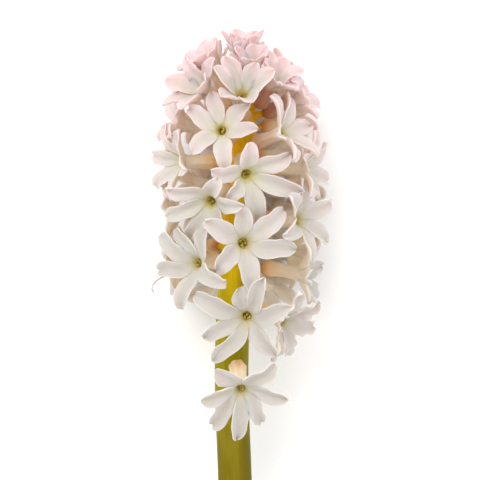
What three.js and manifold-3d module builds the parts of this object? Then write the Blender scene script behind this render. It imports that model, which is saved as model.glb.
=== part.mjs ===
// Hyacinth flower: one cut raceme of waxy florets that lies on its back.
// Millimetres. The scape runs along +Y from its cut end, +Z is up, and the surface is z = 0.
import * as THREE from "three";
import Module from "manifold-3d";

// The scape, in millimetres
const SCAPE_LENGTH = 182;
const SCAPE_RADIUS = 6.7;
const SCAPE_TAPER = { from: 125, to: 195, loss: 0.62 };
const SCAPE_SAG = { at: 62, spread: 36, depth: -1.8 };
const SCAPE_LEAN = { from: 80, to: 170, width: 3.4 };
const AXIS_HEIGHT = 27;
const SCAPE_CROWN = { shoulder: 2, tip: 2.8, share: 0.6 };
const SCAPE_SIDES = 12;
const SCAPE_STEP = 9;

// The pedicels: each leaves the scape below its floret and rises a little
const PEDICEL_LENGTH = 3;
const PEDICEL_RADIUS = 1.5;
const PEDICEL_RISE = 12;
const PEDICEL_ROOT = 0.3;
const PEDICEL_SIDES = 6;

// Where a floret's tube sits on its pedicel, and how far below its throat
const SEAT_GAP = 0.3;
const SEAT_DROP = 1.5;
const SEAT_TILT_DROP = 14;
const SEAT_SWING = 0.3;
const SEAT_BELOW_TOP = 2;

// One floret at size 1, in millimetres
const LOBE_LENGTH = 16.2;
const LOBE_HALF_WIDTH = 3.9;
const LOBE_ROOT_WIDTH = 0.5;
const LOBE_WIDEST = 0.4;
const LOBE_TAPER = 2.1;
const LOBE_BLUNTNESS = 0.72;
const YOUNG = { from: 162, to: 180, broad: 0.18, blunt: 0.16 };
const LOBE_FLARE = 0.42;
const LOBE_CHANNEL = 0.3;
const LOBE_FLOOR = 0.4;
const LOBE_THICKNESS = 1.0;
const LOBE_SWING = 0.7;
const LOBE_GAP = 0.14;
const LOBE_CROWDING = 8;
const NARROWEST_TURN = 4;
const WIDEST_TURN = 60;
const LOBE_STATIONS = [0.17, 0.4, 0.63, 0.85];
const SMALL_STATIONS = [0.2, 0.5, 0.8];
const SMALL_SIZE = 0.7;
const THROAT_RADIUS = 3.3;
const THROAT_WALL = 0.8;
const THROAT_DEPTH = 6;
const THROAT_FLOOR = 1.5;
const PISTIL_RISE = 2.6;
const TUBE_START = 0.4;
const TUBE_END = 0.45;
const TUBE_SHAPE = [
  { at: 0, radius: 1.5 },
  { at: 0.2, radius: 3.4 },
  { at: 0.6, radius: 2.75 },
];

// How each of its lobes differs from the next, in degrees or as a share, and which draw says so
const VARY = { angle: 8, open: 9, length: 0.06, twist: 12, bend: 0.1, roll: 30 };
const DRAW = { angle: 1, open: 2, length: 3, twist: 4, bend: 5, roll: 8 };

// Florets that stand at the front and the sides of the head. Height is the throat's, from the cut end.
// Azimuth goes round the scape from the top towards +X, reach is the throat's distance from the scape,
// yaw and pitch say where the floret faces, and open is how far its lobes curl back from there.
// Angles give the way that each lobe points, round the throat. The others have lobes turned by roll.
const FRONT_FLORETS = [
  { height: 57.6, azimuth: 9, reach: 24, yaw: 6, pitch: -32, open: 112, size: 1,
    angles: [-1, 44, 138, 186, 232, 269, 308], lengths: [1.05, 0.98, 0.8, 0.88, 1.15, 1.25, 0.92] },
  { height: 86, azimuth: 12, reach: 24.5, yaw: -12, pitch: -18, open: 108, size: 1.05,
    angles: [15, 65, 96, 147, 209, 236, 303], lengths: [1.1, 1.05, 0.6, 1.2, 1, 1.2, 1] },
  { height: 107, azimuth: -40, reach: 24.5, yaw: -38, pitch: 0, open: 105, size: 1,
    angles: [66, 118, 146, 188, 259, 336], lengths: [0.85, 0.9, 1.05, 0.97, 1.08, 1.25] },
  { height: 114.8, azimuth: 5, reach: 24.5, yaw: 12, pitch: 0, open: 108, size: 1.1,
    angles: [33, 98, 154, 214, 272, 351], lengths: [1.05, 0.85, 0.95, 0.95, 1, 1.05] },
  { height: 131, azimuth: -30, reach: 24, yaw: -24, pitch: -20, open: 100, size: 1,
    angles: [1, 57, 158, 190, 240, 292], lengths: [0.95, 0.85, 1, 1.05, 1, 0.75] },
  { height: 141.5, azimuth: 4, reach: 24, yaw: 20, pitch: -20, open: 100, size: 1.05,
    angles: [34, 103, 180, 222, 290, 347], lengths: [1, 0.75, 0.85, 0.8, 1.1, 1.3] },
  { height: 159, azimuth: -22, reach: 24, yaw: -8, pitch: 13, open: 102, size: 0.95,
    angles: [45, 106, 150, 216, 280, 350], lengths: [0.95, 0.9, 1, 0.85, 1.1, 0.9] },
  { height: 173, azimuth: -3, reach: 20.5, yaw: 2, pitch: 40, open: 58, size: 1,
    angles: [15, 62, 112, 155, 225, 292], lengths: [0.95, 0.85, 0.9, 0.9, 0.8, 0.8] },
  { height: 158, azimuth: 38, reach: 24, yaw: 58, pitch: 18, open: 92, size: 0.92, roll: 8 },
  { height: 144, azimuth: 72, reach: 24.6, yaw: 68, pitch: 0, open: 92, size: 0.9, roll: -15 },
  { height: 124, azimuth: 62, reach: 26, yaw: 55, pitch: 5, open: 100, size: 1, roll: 30 },
  { height: 103, azimuth: 80, reach: 25, yaw: 80, pitch: -3, open: 84, size: 0.95, roll: 10 },
  { height: 83.5, azimuth: 54, reach: 24.5, yaw: 54, pitch: -20, open: 98, size: 0.92,
    roll: -10, lengths: [1, 1, 1, 1, 1.05, 0.82] },
  { height: 174.5, azimuth: -50, reach: 20.5, yaw: -52, pitch: 26, open: 68, size: 1,
    roll: -6, lengths: [0.9, 0.8, 0.9, 0.95, 0.95, 0.9] },
  { height: 185.5, azimuth: -64, reach: 15, yaw: -60, pitch: 44, open: 62, size: 0.9,
    roll: 8, lengths: [0.68, 0.65, 0.7, 0.75, 0.8, 0.75] },
  { height: 190.6, azimuth: 180, reach: 4.5, yaw: 178, pitch: 98, open: 44, size: 0.92,
    roll: 0, lengths: [0.75, 0.72, 0.75, 0.78, 0.72, 0.68] },
  { height: 178, azimuth: 44, reach: 15.5, yaw: 44, pitch: 40, open: 58, size: 0.92,
    roll: 40, lengths: [0.7, 0.75, 0.85, 0.8, 0.8, 0.8] },
  { height: 172, azimuth: 78, reach: 18.5, yaw: 74, pitch: 26, open: 74, size: 0.92,
    roll: 26, lengths: [0.8, 0.75, 0.85, 0.95, 0.85, 0.85] },
  { height: 162, azimuth: -82, reach: 24, yaw: -78, pitch: 12, open: 90, size: 0.92, roll: 25 },
  { height: 147, azimuth: -70, reach: 25.2, yaw: -66, pitch: 3, open: 90, size: 0.95, roll: -14 },
  { height: 127, azimuth: -90, reach: 23.8, yaw: -92, pitch: -3, open: 98, size: 0.92, roll: 20 },
  { height: 107, azimuth: -102, reach: 23.5, yaw: -98, pitch: -4, open: 112, size: 0.85, roll: 10 },
  { height: 183, azimuth: 10, reach: 12.5, yaw: 8, pitch: 50, open: 50, size: 0.86,
    roll: 15, lengths: [0.75, 0.68, 0.72, 0.8, 0.75, 0.8] },
  { height: 188.5, azimuth: -14, reach: 8, yaw: -12, pitch: 62, open: 22, size: 0.6,
    roll: 40, lengths: [0.8, 0.8, 0.8, 0.8, 0.8, 0.8] },
  { height: 182, azimuth: 112, reach: 12, yaw: 112, pitch: 44, open: 60, size: 0.66, roll: 5 },
  { height: 185, azimuth: -118, reach: 11.5, yaw: -118, pitch: 46, open: 60, size: 0.64, roll: 25 },
  { height: 188.5, azimuth: 44, reach: 5, yaw: 30, pitch: 64, open: 22, size: 0.55,
    roll: 10, lengths: [0.8, 0.8, 0.8, 0.8, 0.8, 0.8] },
];

// The back of the head, in rows that alternate between two florets and three. Up the head the florets
// get smaller, draw in towards the scape and face upwards.
const BACK_ROWS = { from: 98, step: 13.5, count: 7, azimuths: [[146, 195], [120, 172, 225]] };
const BACK_REACH = 24;
const BACK_OPEN = 100;
const BACK_SIZE = 0.9;
const BACK_CLEARANCE = 6;
const BACK_SHRINK = { from: 130, to: 190, loss: 0.25 };
const BACK_DRAW_IN = { from: 150, to: 190, depth: 8 };
const BACK_PITCH = { from: 90, to: 190, low: -12, rise: 42 };

// How lobes that meet are bent clear of each other, in millimetres
const GRID_ALONG = 6;
const GRID_ACROSS = 4;
const LOBE_SPACING = 2.7;
const TUBE_BALLS = 6;
const TUBE_BALL_RADIUS = 3.3;
const TUBE_CLEARANCE = 0.9;
const TUBE_SEARCH = 10;
const SCAPE_CLEARANCE = 1.1;
const SURFACE_CLEARANCE = 0.65;
const BEND_ROUNDS = 200;
const GROWTH_ROUNDS = 160;
const BUD_SHARE = 0.2;
const SETTLE_ROUNDS = 20;
const BEND_SMOOTHING = 0.3;
const SETTLED_SMOOTHING = 0.075;
const JOINED_STEPS = 3;
const FIRM_STEPS = 2;
const CROWD_SHARE = 0.6;

const UP_SCAPE = new THREE.Vector3(0, 1, 0);
const { clamp, degToRad, smoothstep } = THREE.MathUtils;

// A repeatable draw between -1 and 1 for one lobe of one floret.
function draw(floret, lobe, kind) {
  const wave = Math.sin(floret * 12.9898 + lobe * 78.233 + kind * 37.719) * 43758.5453;
  return 2 * (wave - Math.floor(wave)) - 1;
}

// The unit vector that points yaw degrees round the scape from the top and pitch degrees up it.
function direction(yaw, pitch) {
  const level = Math.cos(degToRad(pitch));
  return new THREE.Vector3(
    Math.sin(degToRad(yaw)) * level,
    Math.sin(degToRad(pitch)),
    Math.cos(degToRad(yaw)) * level,
  );
}

function scapeRadius(height) {
  return SCAPE_RADIUS * (1 - SCAPE_TAPER.loss * smoothstep(height, SCAPE_TAPER.from, SCAPE_TAPER.to));
}

function scapeCentre(height) {
  const sag = SCAPE_SAG.depth * Math.exp(-(((height - SCAPE_SAG.at) / SCAPE_SAG.spread) ** 2));
  const lean = SCAPE_LEAN.width * smoothstep(height, SCAPE_LEAN.from, SCAPE_LEAN.to);
  return new THREE.Vector3(sag + lean, height, AXIS_HEIGHT);
}

// The florets that the back rows hold, pressed nearer the scape where the surface is close.
function backFlorets() {
  const florets = [];
  for (let row = 0; row < BACK_ROWS.count; row++) {
    const height = BACK_ROWS.from + row * BACK_ROWS.step;
    const shrunk = BACK_SHRINK.loss * smoothstep(height, BACK_SHRINK.from, BACK_SHRINK.to);
    const size = BACK_SIZE - shrunk;
    const drawnIn = BACK_DRAW_IN.depth * smoothstep(height, BACK_DRAW_IN.from, BACK_DRAW_IN.to);
    const pitch = BACK_PITCH.low + BACK_PITCH.rise * smoothstep(height, BACK_PITCH.from, BACK_PITCH.to);
    BACK_ROWS.azimuths[row % 2].forEach((azimuth, place) => {
      const room = (AXIS_HEIGHT - BACK_CLEARANCE) / -Math.cos(degToRad(azimuth));
      const reach = Math.min(BACK_REACH - drawnIn, room);
      const roll = VARY.roll * draw(row, place, DRAW.roll);
      florets.push({ height, azimuth, reach, yaw: azimuth, pitch, roll, open: BACK_OPEN, size });
    });
  }
  return florets;
}

// Adds to a floret where its throat is, the way it faces and its tube's curve from the pedicel.
function place(floret, index) {
  const { height, azimuth, reach, yaw, pitch, size } = floret;
  const facing = direction(yaw, pitch);
  const right = new THREE.Vector3().crossVectors(UP_SCAPE, facing).normalize();
  const up = new THREE.Vector3().crossVectors(facing, right);
  const throat = scapeCentre(height).addScaledVector(direction(azimuth, 0), reach);
  const drop = SEAT_DROP + SEAT_TILT_DROP * size * Math.sin(degToRad(pitch));
  const seatHeight = Math.min(height - drop, SCAPE_LENGTH - SEAT_BELOW_TOP);
  const outward = direction(azimuth - SEAT_SWING * (yaw - azimuth), PEDICEL_RISE);
  const pedicelRoot = scapeCentre(seatHeight);
  const pedicelEnd = scapeRadius(seatHeight) + PEDICEL_LENGTH * size;
  const seat = pedicelRoot.clone().addScaledVector(outward, pedicelEnd + SEAT_GAP);
  const span = seat.distanceTo(throat);
  const tube = new THREE.CubicBezierCurve3(
    seat,
    seat.clone().addScaledVector(outward, TUBE_START * span),
    throat.clone().addScaledVector(facing, -TUBE_END * span),
    throat,
  );
  const angles = floret.angles ?? evenAngles(floret.roll, index);
  const roll = floret.roll ?? meanRoll(angles);
  const lobes = angles.length;
  const seated = { outward, pedicelRoot, pedicelEnd, tube };
  return { ...floret, index, lobes, angles, roll, facing, right, up, throat, ...seated };
}

function evenAngles(roll, index) {
  return [0, 1, 2, 3, 4, 5].map((lobe) => roll + 60 * lobe + VARY.angle * draw(index, lobe, DRAW.angle));
}

// The turn of evenly spaced lobes that come nearest to the angles given.
function meanRoll(angles) {
  return angles.reduce((sum, angle, lobe) => sum + angle - (360 / angles.length) * lobe, 0) / angles.length;
}

const florets = [...FRONT_FLORETS, ...backFlorets()].map(place);

// Half the width of a lobe a share of the way from its root to its tip. The youngest lobes, at the top
// of the head, are broad and blunt.
function halfWidth({ height }, share) {
  const young = smoothstep(height, YOUNG.from, YOUNG.to);
  const swell = Math.sin((Math.PI / 2) * Math.min(share / LOBE_WIDEST, 1));
  const past = Math.max(0, (share - LOBE_WIDEST) / (1 - LOBE_WIDEST));
  const taper = Math.max(0, 1 - past ** LOBE_TAPER) ** (LOBE_BLUNTNESS - YOUNG.blunt * young);
  const broadest = LOBE_HALF_WIDTH * (1 + YOUNG.broad * young);
  return broadest * (LOBE_ROOT_WIDTH + (1 - LOBE_ROOT_WIDTH) * swell) * taper;
}

// Which way a lobe points round the throat, in degrees: it swings from an even root to its own way.
function lobeAngle({ lobes, roll, angles }, lobe, share) {
  const rootAngle = roll + (360 / lobes) * lobe;
  const turns = Math.floor(lobe / lobes);
  const ownAngle = angles[lobe - turns * lobes] + 360 * turns;
  return rootAngle + (ownAngle - rootAngle) * smoothstep(share, 0, LOBE_SWING);
}

// Half the width of a lobe on one side, narrowed where the next lobe leaves less room. Lean is how far
// the edge comes inwards for each millimetre of width, and aside is how far the lobe is bent over.
function fittedWidth(floret, lobe, share, side, { reach, lean, aside }) {
  const here = lobeAngle(floret, lobe, share);
  const apart = Math.abs(lobeAngle(floret, side > 0 ? lobe + 1 : lobe - 1, share) - here);
  const slope = Math.tan(degToRad(clamp(apart / 2, NARROWEST_TURN, WIDEST_TURN)));
  const room = (reach * slope - LOBE_GAP - aside) / (1 + lean * slope);
  const free = halfWidth(floret, share);
  return free / (1 + (free / room) ** LOBE_CROWDING) ** (1 / LOBE_CROWDING);
}

// A point of a lobe as it grows unhindered: share runs from root to tip, side from -1 to 1 across.
function freePoint(floret, lobe, share, side) {
  const { index, lengths, open, size, facing, right, up, throat } = floret;
  const angle = degToRad(lobeAngle(floret, lobe, share));
  const out = right.clone().multiplyScalar(Math.cos(angle)).addScaledVector(up, Math.sin(angle));
  const across = right.clone().multiplyScalar(-Math.sin(angle)).addScaledVector(up, Math.cos(angle));
  const curl = degToRad(open + VARY.open * draw(index, lobe, DRAW.open));
  const start = LOBE_FLARE * curl;
  const now = start + (curl - start) * share;
  const length = LOBE_LENGTH * (lengths?.[lobe] ?? 1 + VARY.length * draw(index, lobe, DRAW.length));
  const spread = (length * (Math.cos(start) - Math.cos(now))) / (curl - start);
  const rise = (length * (Math.sin(now) - Math.sin(start))) / (curl - start);
  const reach = THROAT_RADIUS - THROAT_WALL / 2 + spread;
  const inner = facing.clone().multiplyScalar(Math.sin(now)).addScaledVector(out, -Math.cos(now));
  const twist = degToRad(VARY.twist * draw(index, lobe, DRAW.twist)) * share;
  const bend = length * VARY.bend * draw(index, lobe, DRAW.bend) * share * share;
  const rolled = LOBE_CHANNEL * (1 - LOBE_FLOOR) + Math.abs(Math.sin(twist));
  const lean = rolled * Math.max(0, Math.cos(now));
  const fitted = fittedWidth(floret, lobe, share, side, { reach, lean, aside: Math.abs(bend) });
  const width = fitted * side;
  const hollow = LOBE_CHANNEL * fitted * (side * side - LOBE_FLOOR);
  return throat
    .clone()
    .addScaledVector(out, size * reach)
    .addScaledVector(facing, size * rise)
    .addScaledVector(across, size * (width * Math.cos(twist) + bend))
    .addScaledVector(inner, size * (width * Math.sin(twist) + hollow));
}

// The grid of points that stands for every lobe while they are bent clear of each other.
function lobeGrid() {
  const grid = [];
  for (const floret of florets) {
    floret.first = grid.length;
    for (let lobe = 0; lobe < floret.lobes; lobe++) {
      const root = freePoint(floret, lobe, 0, 0);
      for (let i = 0; i <= GRID_ALONG; i++) {
        for (let j = 0; j <= GRID_ACROSS; j++) {
          const free = freePoint(floret, lobe, i / GRID_ALONG, (2 * j) / GRID_ACROSS - 1);
          grid.push({ floret, lobe, i, j, root, free, moved: new THREE.Vector3() });
        }
      }
    }
  }
  return grid;
}

const LOBE_POINTS = (GRID_ALONG + 1) * (GRID_ACROSS + 1);

// Round obstacles that lobes are pushed off: the tubes, the pedicels and the scape.
function obstacles() {
  const balls = [];
  for (const floret of florets) {
    const { tube, size, outward, pedicelRoot, pedicelEnd } = floret;
    for (let step = 1; step <= TUBE_BALLS; step++) {
      const centre = tube.getPoint(step / (TUBE_BALLS + 1));
      balls.push({ owner: floret, centre, radius: TUBE_BALL_RADIUS * size + TUBE_CLEARANCE });
    }
    const middle = pedicelRoot.clone().addScaledVector(outward, pedicelEnd);
    balls.push({ owner: floret, centre: middle, radius: PEDICEL_RADIUS + TUBE_CLEARANCE });
  }
  return balls;
}

// Space cut into cells, so that a point's neighbours are found at once.
function cellsOf(items, cell) {
  const cells = new Map();
  items.forEach((item) => {
    const key = cellKey(item.at, cell, 0, 0, 0);
    if (!cells.has(key)) cells.set(key, []);
    cells.get(key).push(item);
  });
  return cells;
}

function cellKey(at, cell, dx, dy, dz) {
  const x = Math.floor(at.x / cell) + dx + 512;
  const y = Math.floor(at.y / cell) + dy + 512;
  const z = Math.floor(at.z / cell) + dz + 512;
  return (x * 1024 + y) * 1024 + z;
}

function near(cells, at, cell) {
  const found = [];
  for (let dx = -1; dx <= 1; dx++)
    for (let dy = -1; dy <= 1; dy++)
      for (let dz = -1; dz <= 1; dz++) found.push(...(cells.get(cellKey(at, cell, dx, dy, dz)) ?? []));
  return found;
}

// Two points of one floret may lie close where its lobes are still joined.
function mayTouch(a, b) {
  if (a.floret !== b.floret) return false;
  return a.lobe === b.lobe || Math.min(a.i, b.i) < JOINED_STEPS;
}

// How far a point has to go to be clear of the other lobes.
function pushFromLobes(point, cells, cell) {
  const push = new THREE.Vector3();
  let count = 0;
  for (const other of near(cells, point.at, cell)) {
    if (mayTouch(point, other)) continue;
    const space = (LOBE_SPACING * (point.floret.size + other.floret.size)) / 2;
    const away = point.at.clone().sub(other.at);
    const gap = away.length();
    if (gap >= space || gap === 0) continue;
    const share = other.i < FIRM_STEPS ? 1 : 0.5;
    push.addScaledVector(away, (share * (space - gap)) / gap);
    count++;
  }
  return push.divideScalar(Math.max(1, CROWD_SHARE * count));
}

function pushFromBalls(point, balls) {
  const push = new THREE.Vector3();
  for (const ball of balls) {
    if (ball.owner === point.floret) continue;
    const away = point.at.clone().sub(ball.centre);
    const gap = away.length();
    if (gap < ball.radius) push.addScaledVector(away, (ball.radius - gap) / gap);
  }
  return push;
}

function pushFromScape(point) {
  const height = clamp(point.at.y, 0, SCAPE_LENGTH);
  const away = point.at.clone().sub(scapeCentre(height));
  const gap = away.length();
  const radius = scapeRadius(height) + SCAPE_CLEARANCE;
  return gap < radius ? away.multiplyScalar((radius - gap) / gap) : new THREE.Vector3();
}

// Each point's move drawn towards its neighbours' in the lobe, so that lobes bend and don't crumple.
function smoothMoves(grid, amount) {
  const old = grid.map((point) => point.moved.clone());
  grid.forEach((point, n) => {
    if (point.i === 0) return;
    const mean = new THREE.Vector3();
    let count = 0;
    const add = (m) => {
      mean.add(old[m]);
      count++;
    };
    add(n - (GRID_ACROSS + 1));
    if (point.i < GRID_ALONG) add(n + GRID_ACROSS + 1);
    if (point.j > 0) add(n - 1);
    if (point.j < GRID_ACROSS) add(n + 1);
    point.moved.lerp(mean.divideScalar(count), amount);
  });
}

// Lobes are joined side by side at their roots, so the edges that meet there move together.
function joinRoots(grid) {
  for (const { first, lobes } of florets) {
    for (let lobe = 0; lobe < lobes; lobe++) {
      for (let i = 1; i < JOINED_STEPS; i++) {
        const row = i * (GRID_ACROSS + 1);
        const after = grid[first + lobe * LOBE_POINTS + row + GRID_ACROSS].moved;
        const before = grid[first + ((lobe + 1) % lobes) * LOBE_POINTS + row].moved;
        const mean = after.clone().lerp(before, 0.5);
        after.lerp(mean, 1 / i);
        before.lerp(mean, 1 / i);
      }
    }
  }
}

// Bends every lobe clear of the other florets, the scape and the surface that the flower lies on.
function bendClear() {
  const grid = lobeGrid();
  const balls = obstacles();
  const cell = LOBE_SPACING * 1.2;
  const search = LOBE_LENGTH + THROAT_RADIUS + TUBE_SEARCH;
  const ballsNear = new Map(
    florets.map((floret) => [
      floret,
      balls.filter((ball) => ball.centre.distanceTo(floret.throat) < search),
    ]),
  );
  for (let round = 0; round < BEND_ROUNDS; round++) {
    const growth = Math.min(1, BUD_SHARE + (1 - BUD_SHARE) * (round / GROWTH_ROUNDS));
    grid.forEach((point) => {
      point.at = point.root.clone().lerp(point.free, growth).add(point.moved);
    });
    const cells = cellsOf(grid, cell);
    const pushes = grid.map((point) => {
      const push = pushFromLobes(point, cells, cell);
      push.add(pushFromBalls(point, ballsNear.get(point.floret)));
      push.add(pushFromScape(point));
      push.z += Math.max(0, SURFACE_CLEARANCE - point.at.z);
      return push;
    });
    grid.forEach((point, n) => {
      point.moved.addScaledVector(pushes[n], Math.min(1, point.i / FIRM_STEPS));
    });
    const settling = round >= BEND_ROUNDS - SETTLE_ROUNDS;
    smoothMoves(grid, settling ? SETTLED_SMOOTHING : BEND_SMOOTHING);
    joinRoots(grid);
  }
  return grid;
}

const grid = bendClear();

// A value between four even steps, by the Catmull-Rom rule.
function between(a, b, c, d, t) {
  const curve = (2 * a - 5 * b + 4 * c - d) * t * t + (3 * b - a - 3 * c + d) * t * t * t;
  return b + 0.5 * ((c - a) * t + curve);
}

function movedAt(floret, lobe, share, side) {
  const first = floret.first + lobe * LOBE_POINTS;
  const along = share * GRID_ALONG;
  const across = ((side + 1) / 2) * GRID_ACROSS;
  const i = Math.min(Math.floor(along), GRID_ALONG - 1);
  const j = Math.min(Math.floor(across), GRID_ACROSS - 1);
  const at = (m, n) => {
    const row = clamp(m, 0, GRID_ALONG);
    const column = clamp(n, 0, GRID_ACROSS);
    return grid[first + row * (GRID_ACROSS + 1) + column].moved;
  };
  const result = new THREE.Vector3();
  for (const axis of ["x", "y", "z"]) {
    const rows = [-1, 0, 1, 2].map((m) => {
      const values = [-1, 0, 1, 2].map((n) => at(i + m, j + n)[axis]);
      return between(...values, across - j);
    });
    result[axis] = between(...rows, along - i);
  }
  return result;
}

function lobePoint(floret, lobe, share, side) {
  return freePoint(floret, lobe, share, side).add(movedAt(floret, lobe, share, side));
}

// The way that the inner face of a lobe looks at its midline.
function lobeNormal(floret, lobe, share) {
  const along = lobePoint(floret, lobe, Math.min(1, share + 0.04), 0);
  along.sub(lobePoint(floret, lobe, share - 0.04, 0));
  const across = lobePoint(floret, lobe, share, 0.5).sub(lobePoint(floret, lobe, share, -0.5));
  return along.cross(across).normalize();
}

// Collects the corners and triangles of one closed surface.
class Surface {
  constructor() {
    this.points = [];
    this.faces = [];
  }

  add(point) {
    this.points.push(point);
    return this.points.length - 1;
  }

  triangle(a, b, c) {
    this.faces.push(a, b, c);
  }

  quad(a, b, c, d) {
    this.triangle(a, b, c);
    this.triangle(a, c, d);
  }

  band(lower, upper) {
    lower.forEach((corner, n) => {
      const next = (n + 1) % lower.length;
      this.quad(corner, lower[next], upper[next], upper[n]);
    });
  }

  fan(centre, ring) {
    ring.forEach((corner, n) => this.triangle(centre, corner, ring[(n + 1) % ring.length]));
  }

  geometry() {
    const flat = this.points.flatMap((p) => [p.x, p.y, Math.max(p.z, 0)]);
    const geometry = new THREE.BufferGeometry();
    geometry.setAttribute("position", new THREE.Float32BufferAttribute(flat, 3));
    geometry.setIndex(this.faces);
    return geometry;
  }
}

// The floret's right and up carried back along its tube without turning round it.
function tubeFrame(floret, share) {
  const forward = floret.tube.getTangent(share);
  const turn = new THREE.Quaternion().setFromUnitVectors(floret.facing, forward);
  const right = floret.right.clone().applyQuaternion(turn);
  const up = floret.up.clone().applyQuaternion(turn);
  return { centre: floret.tube.getPoint(share), forward, right, up };
}

function tubeRing(surface, floret, share, radius) {
  const { centre, right, up } = tubeFrame(floret, share);
  const sides = 2 * floret.lobes;
  return Array.from({ length: sides }, (_, n) => {
    const angle = degToRad(floret.roll + (360 / sides) * n);
    const corner = centre.clone().addScaledVector(right, radius * floret.size * Math.cos(angle));
    return surface.add(corner.addScaledVector(up, radius * floret.size * Math.sin(angle)));
  });
}

// Four corners round a lobe: its two edges, and the outer and inner face at the midline.
function lobeSection(surface, floret, lobe, share) {
  const middle = lobePoint(floret, lobe, share, 0);
  const half = lobeNormal(floret, lobe, share).multiplyScalar((LOBE_THICKNESS * floret.size) / 2);
  return {
    before: surface.add(lobePoint(floret, lobe, share, -1)),
    after: surface.add(lobePoint(floret, lobe, share, 1)),
    inner: surface.add(middle.clone().add(half)),
    outer: surface.add(middle.clone().sub(half)),
  };
}

function addLobe(surface, floret, lobe, outerRing, innerRing) {
  const sides = outerRing.length;
  const [last, here, next] = [2 * lobe - 1, 2 * lobe, 2 * lobe + 1].map((n) => (n + sides) % sides);
  const stations = floret.size < SMALL_SIZE ? SMALL_STATIONS : LOBE_STATIONS;
  const sections = stations.map((share) => lobeSection(surface, floret, lobe, share));
  const first = sections[0];
  surface.quad(outerRing[last], outerRing[here], first.outer, first.before);
  surface.quad(outerRing[here], outerRing[next], first.after, first.outer);
  surface.quad(innerRing[here], innerRing[last], first.before, first.inner);
  surface.quad(innerRing[next], innerRing[here], first.inner, first.after);
  surface.triangle(outerRing[last], first.before, innerRing[last]);
  surface.triangle(first.after, outerRing[next], innerRing[next]);
  for (let n = 1; n < sections.length; n++) {
    const a = sections[n - 1];
    const b = sections[n];
    surface.quad(a.before, a.outer, b.outer, b.before);
    surface.quad(a.before, b.before, b.inner, a.inner);
    surface.quad(a.after, b.after, b.outer, a.outer);
    surface.quad(a.after, a.inner, b.inner, b.after);
  }
  const end = sections.at(-1);
  const tip = surface.add(lobePoint(floret, lobe, 1, 0));
  surface.triangle(end.before, end.outer, tip);
  surface.triangle(end.outer, end.after, tip);
  surface.triangle(end.inner, end.before, tip);
  surface.triangle(end.after, end.inner, tip);
}

// One floret: swollen tube, hollow throat with the pistil at its bottom, and recurved lobes.
function floretGeometry(floret) {
  const surface = new Surface();
  const rings = TUBE_SHAPE.map(({ at, radius }) => tubeRing(surface, floret, at, radius));
  const outerRing = tubeRing(surface, floret, 1, THROAT_RADIUS);
  const innerRing = tubeRing(surface, floret, 1, THROAT_RADIUS - THROAT_WALL);
  const depth = (THROAT_DEPTH * floret.size) / floret.tube.getLength();
  const bottomRing = tubeRing(surface, floret, 1 - depth, THROAT_FLOOR);
  const pistil = tubeFrame(floret, 1 - depth);
  pistil.centre.addScaledVector(pistil.forward, PISTIL_RISE * floret.size);
  surface.fan(surface.add(floret.tube.getPoint(0)), [...rings[0]].reverse());
  [...rings, outerRing].reduce((lower, upper) => {
    surface.band(lower, upper);
    return upper;
  });
  surface.band(innerRing, bottomRing);
  surface.fan(surface.add(pistil.centre), bottomRing);
  for (let lobe = 0; lobe < floret.lobes; lobe++) addLobe(surface, floret, lobe, outerRing, innerRing);
  return surface.geometry();
}

function ringAt(surface, centre, right, up, radius, sides) {
  return Array.from({ length: sides }, (_, n) => {
    const angle = (2 * Math.PI * n) / sides;
    const corner = centre.clone().addScaledVector(right, radius * Math.cos(angle));
    return surface.add(corner.addScaledVector(up, radius * Math.sin(angle)));
  });
}

// The bare stem, from its flat cut to the rounded growing point.
function stemSurface() {
  const surface = new Surface();
  const right = new THREE.Vector3(0, 0, 1);
  const up = new THREE.Vector3(1, 0, 0);
  const rings = [];
  const steps = Math.round(SCAPE_LENGTH / SCAPE_STEP);
  for (let step = 0; step <= steps; step++) {
    const height = (SCAPE_LENGTH * step) / steps;
    rings.push(ringAt(surface, scapeCentre(height), right, up, scapeRadius(height), SCAPE_SIDES));
  }
  const shoulder = scapeCentre(SCAPE_LENGTH + SCAPE_CROWN.shoulder);
  const crownRadius = SCAPE_CROWN.share * scapeRadius(SCAPE_LENGTH);
  rings.push(ringAt(surface, shoulder, right, up, crownRadius, SCAPE_SIDES));
  surface.fan(surface.add(scapeCentre(0)), [...rings[0]].reverse());
  rings.reduce((lower, upper) => {
    surface.band(lower, upper);
    return upper;
  });
  surface.fan(surface.add(scapeCentre(SCAPE_LENGTH + SCAPE_CROWN.tip)), rings.at(-1));
  return surface;
}

// A pedicel from inside the scape to the seat of its floret.
function pedicelSurface({ outward, pedicelRoot, pedicelEnd, size }) {
  const surface = new Surface();
  const right = new THREE.Vector3().crossVectors(UP_SCAPE, outward).normalize();
  const up = new THREE.Vector3().crossVectors(outward, right);
  const [root, seat] = [PEDICEL_ROOT * pedicelEnd, pedicelEnd].map((at) => {
    const centre = pedicelRoot.clone().addScaledVector(outward, at);
    return { centre, ring: ringAt(surface, centre, right, up, PEDICEL_RADIUS * size, PEDICEL_SIDES) };
  });
  surface.fan(surface.add(root.centre), [...root.ring].reverse());
  surface.band(root.ring, seat.ring);
  surface.fan(surface.add(seat.centre), seat.ring);
  return surface;
}

const wasm = await Module();
wasm.setup();

function solidOf(surface) {
  const vertProperties = new Float32Array(surface.points.flatMap((p) => [p.x, p.y, p.z]));
  const triVerts = new Uint32Array(surface.faces);
  return new wasm.Manifold(new wasm.Mesh({ numProp: 3, vertProperties, triVerts }));
}

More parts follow.
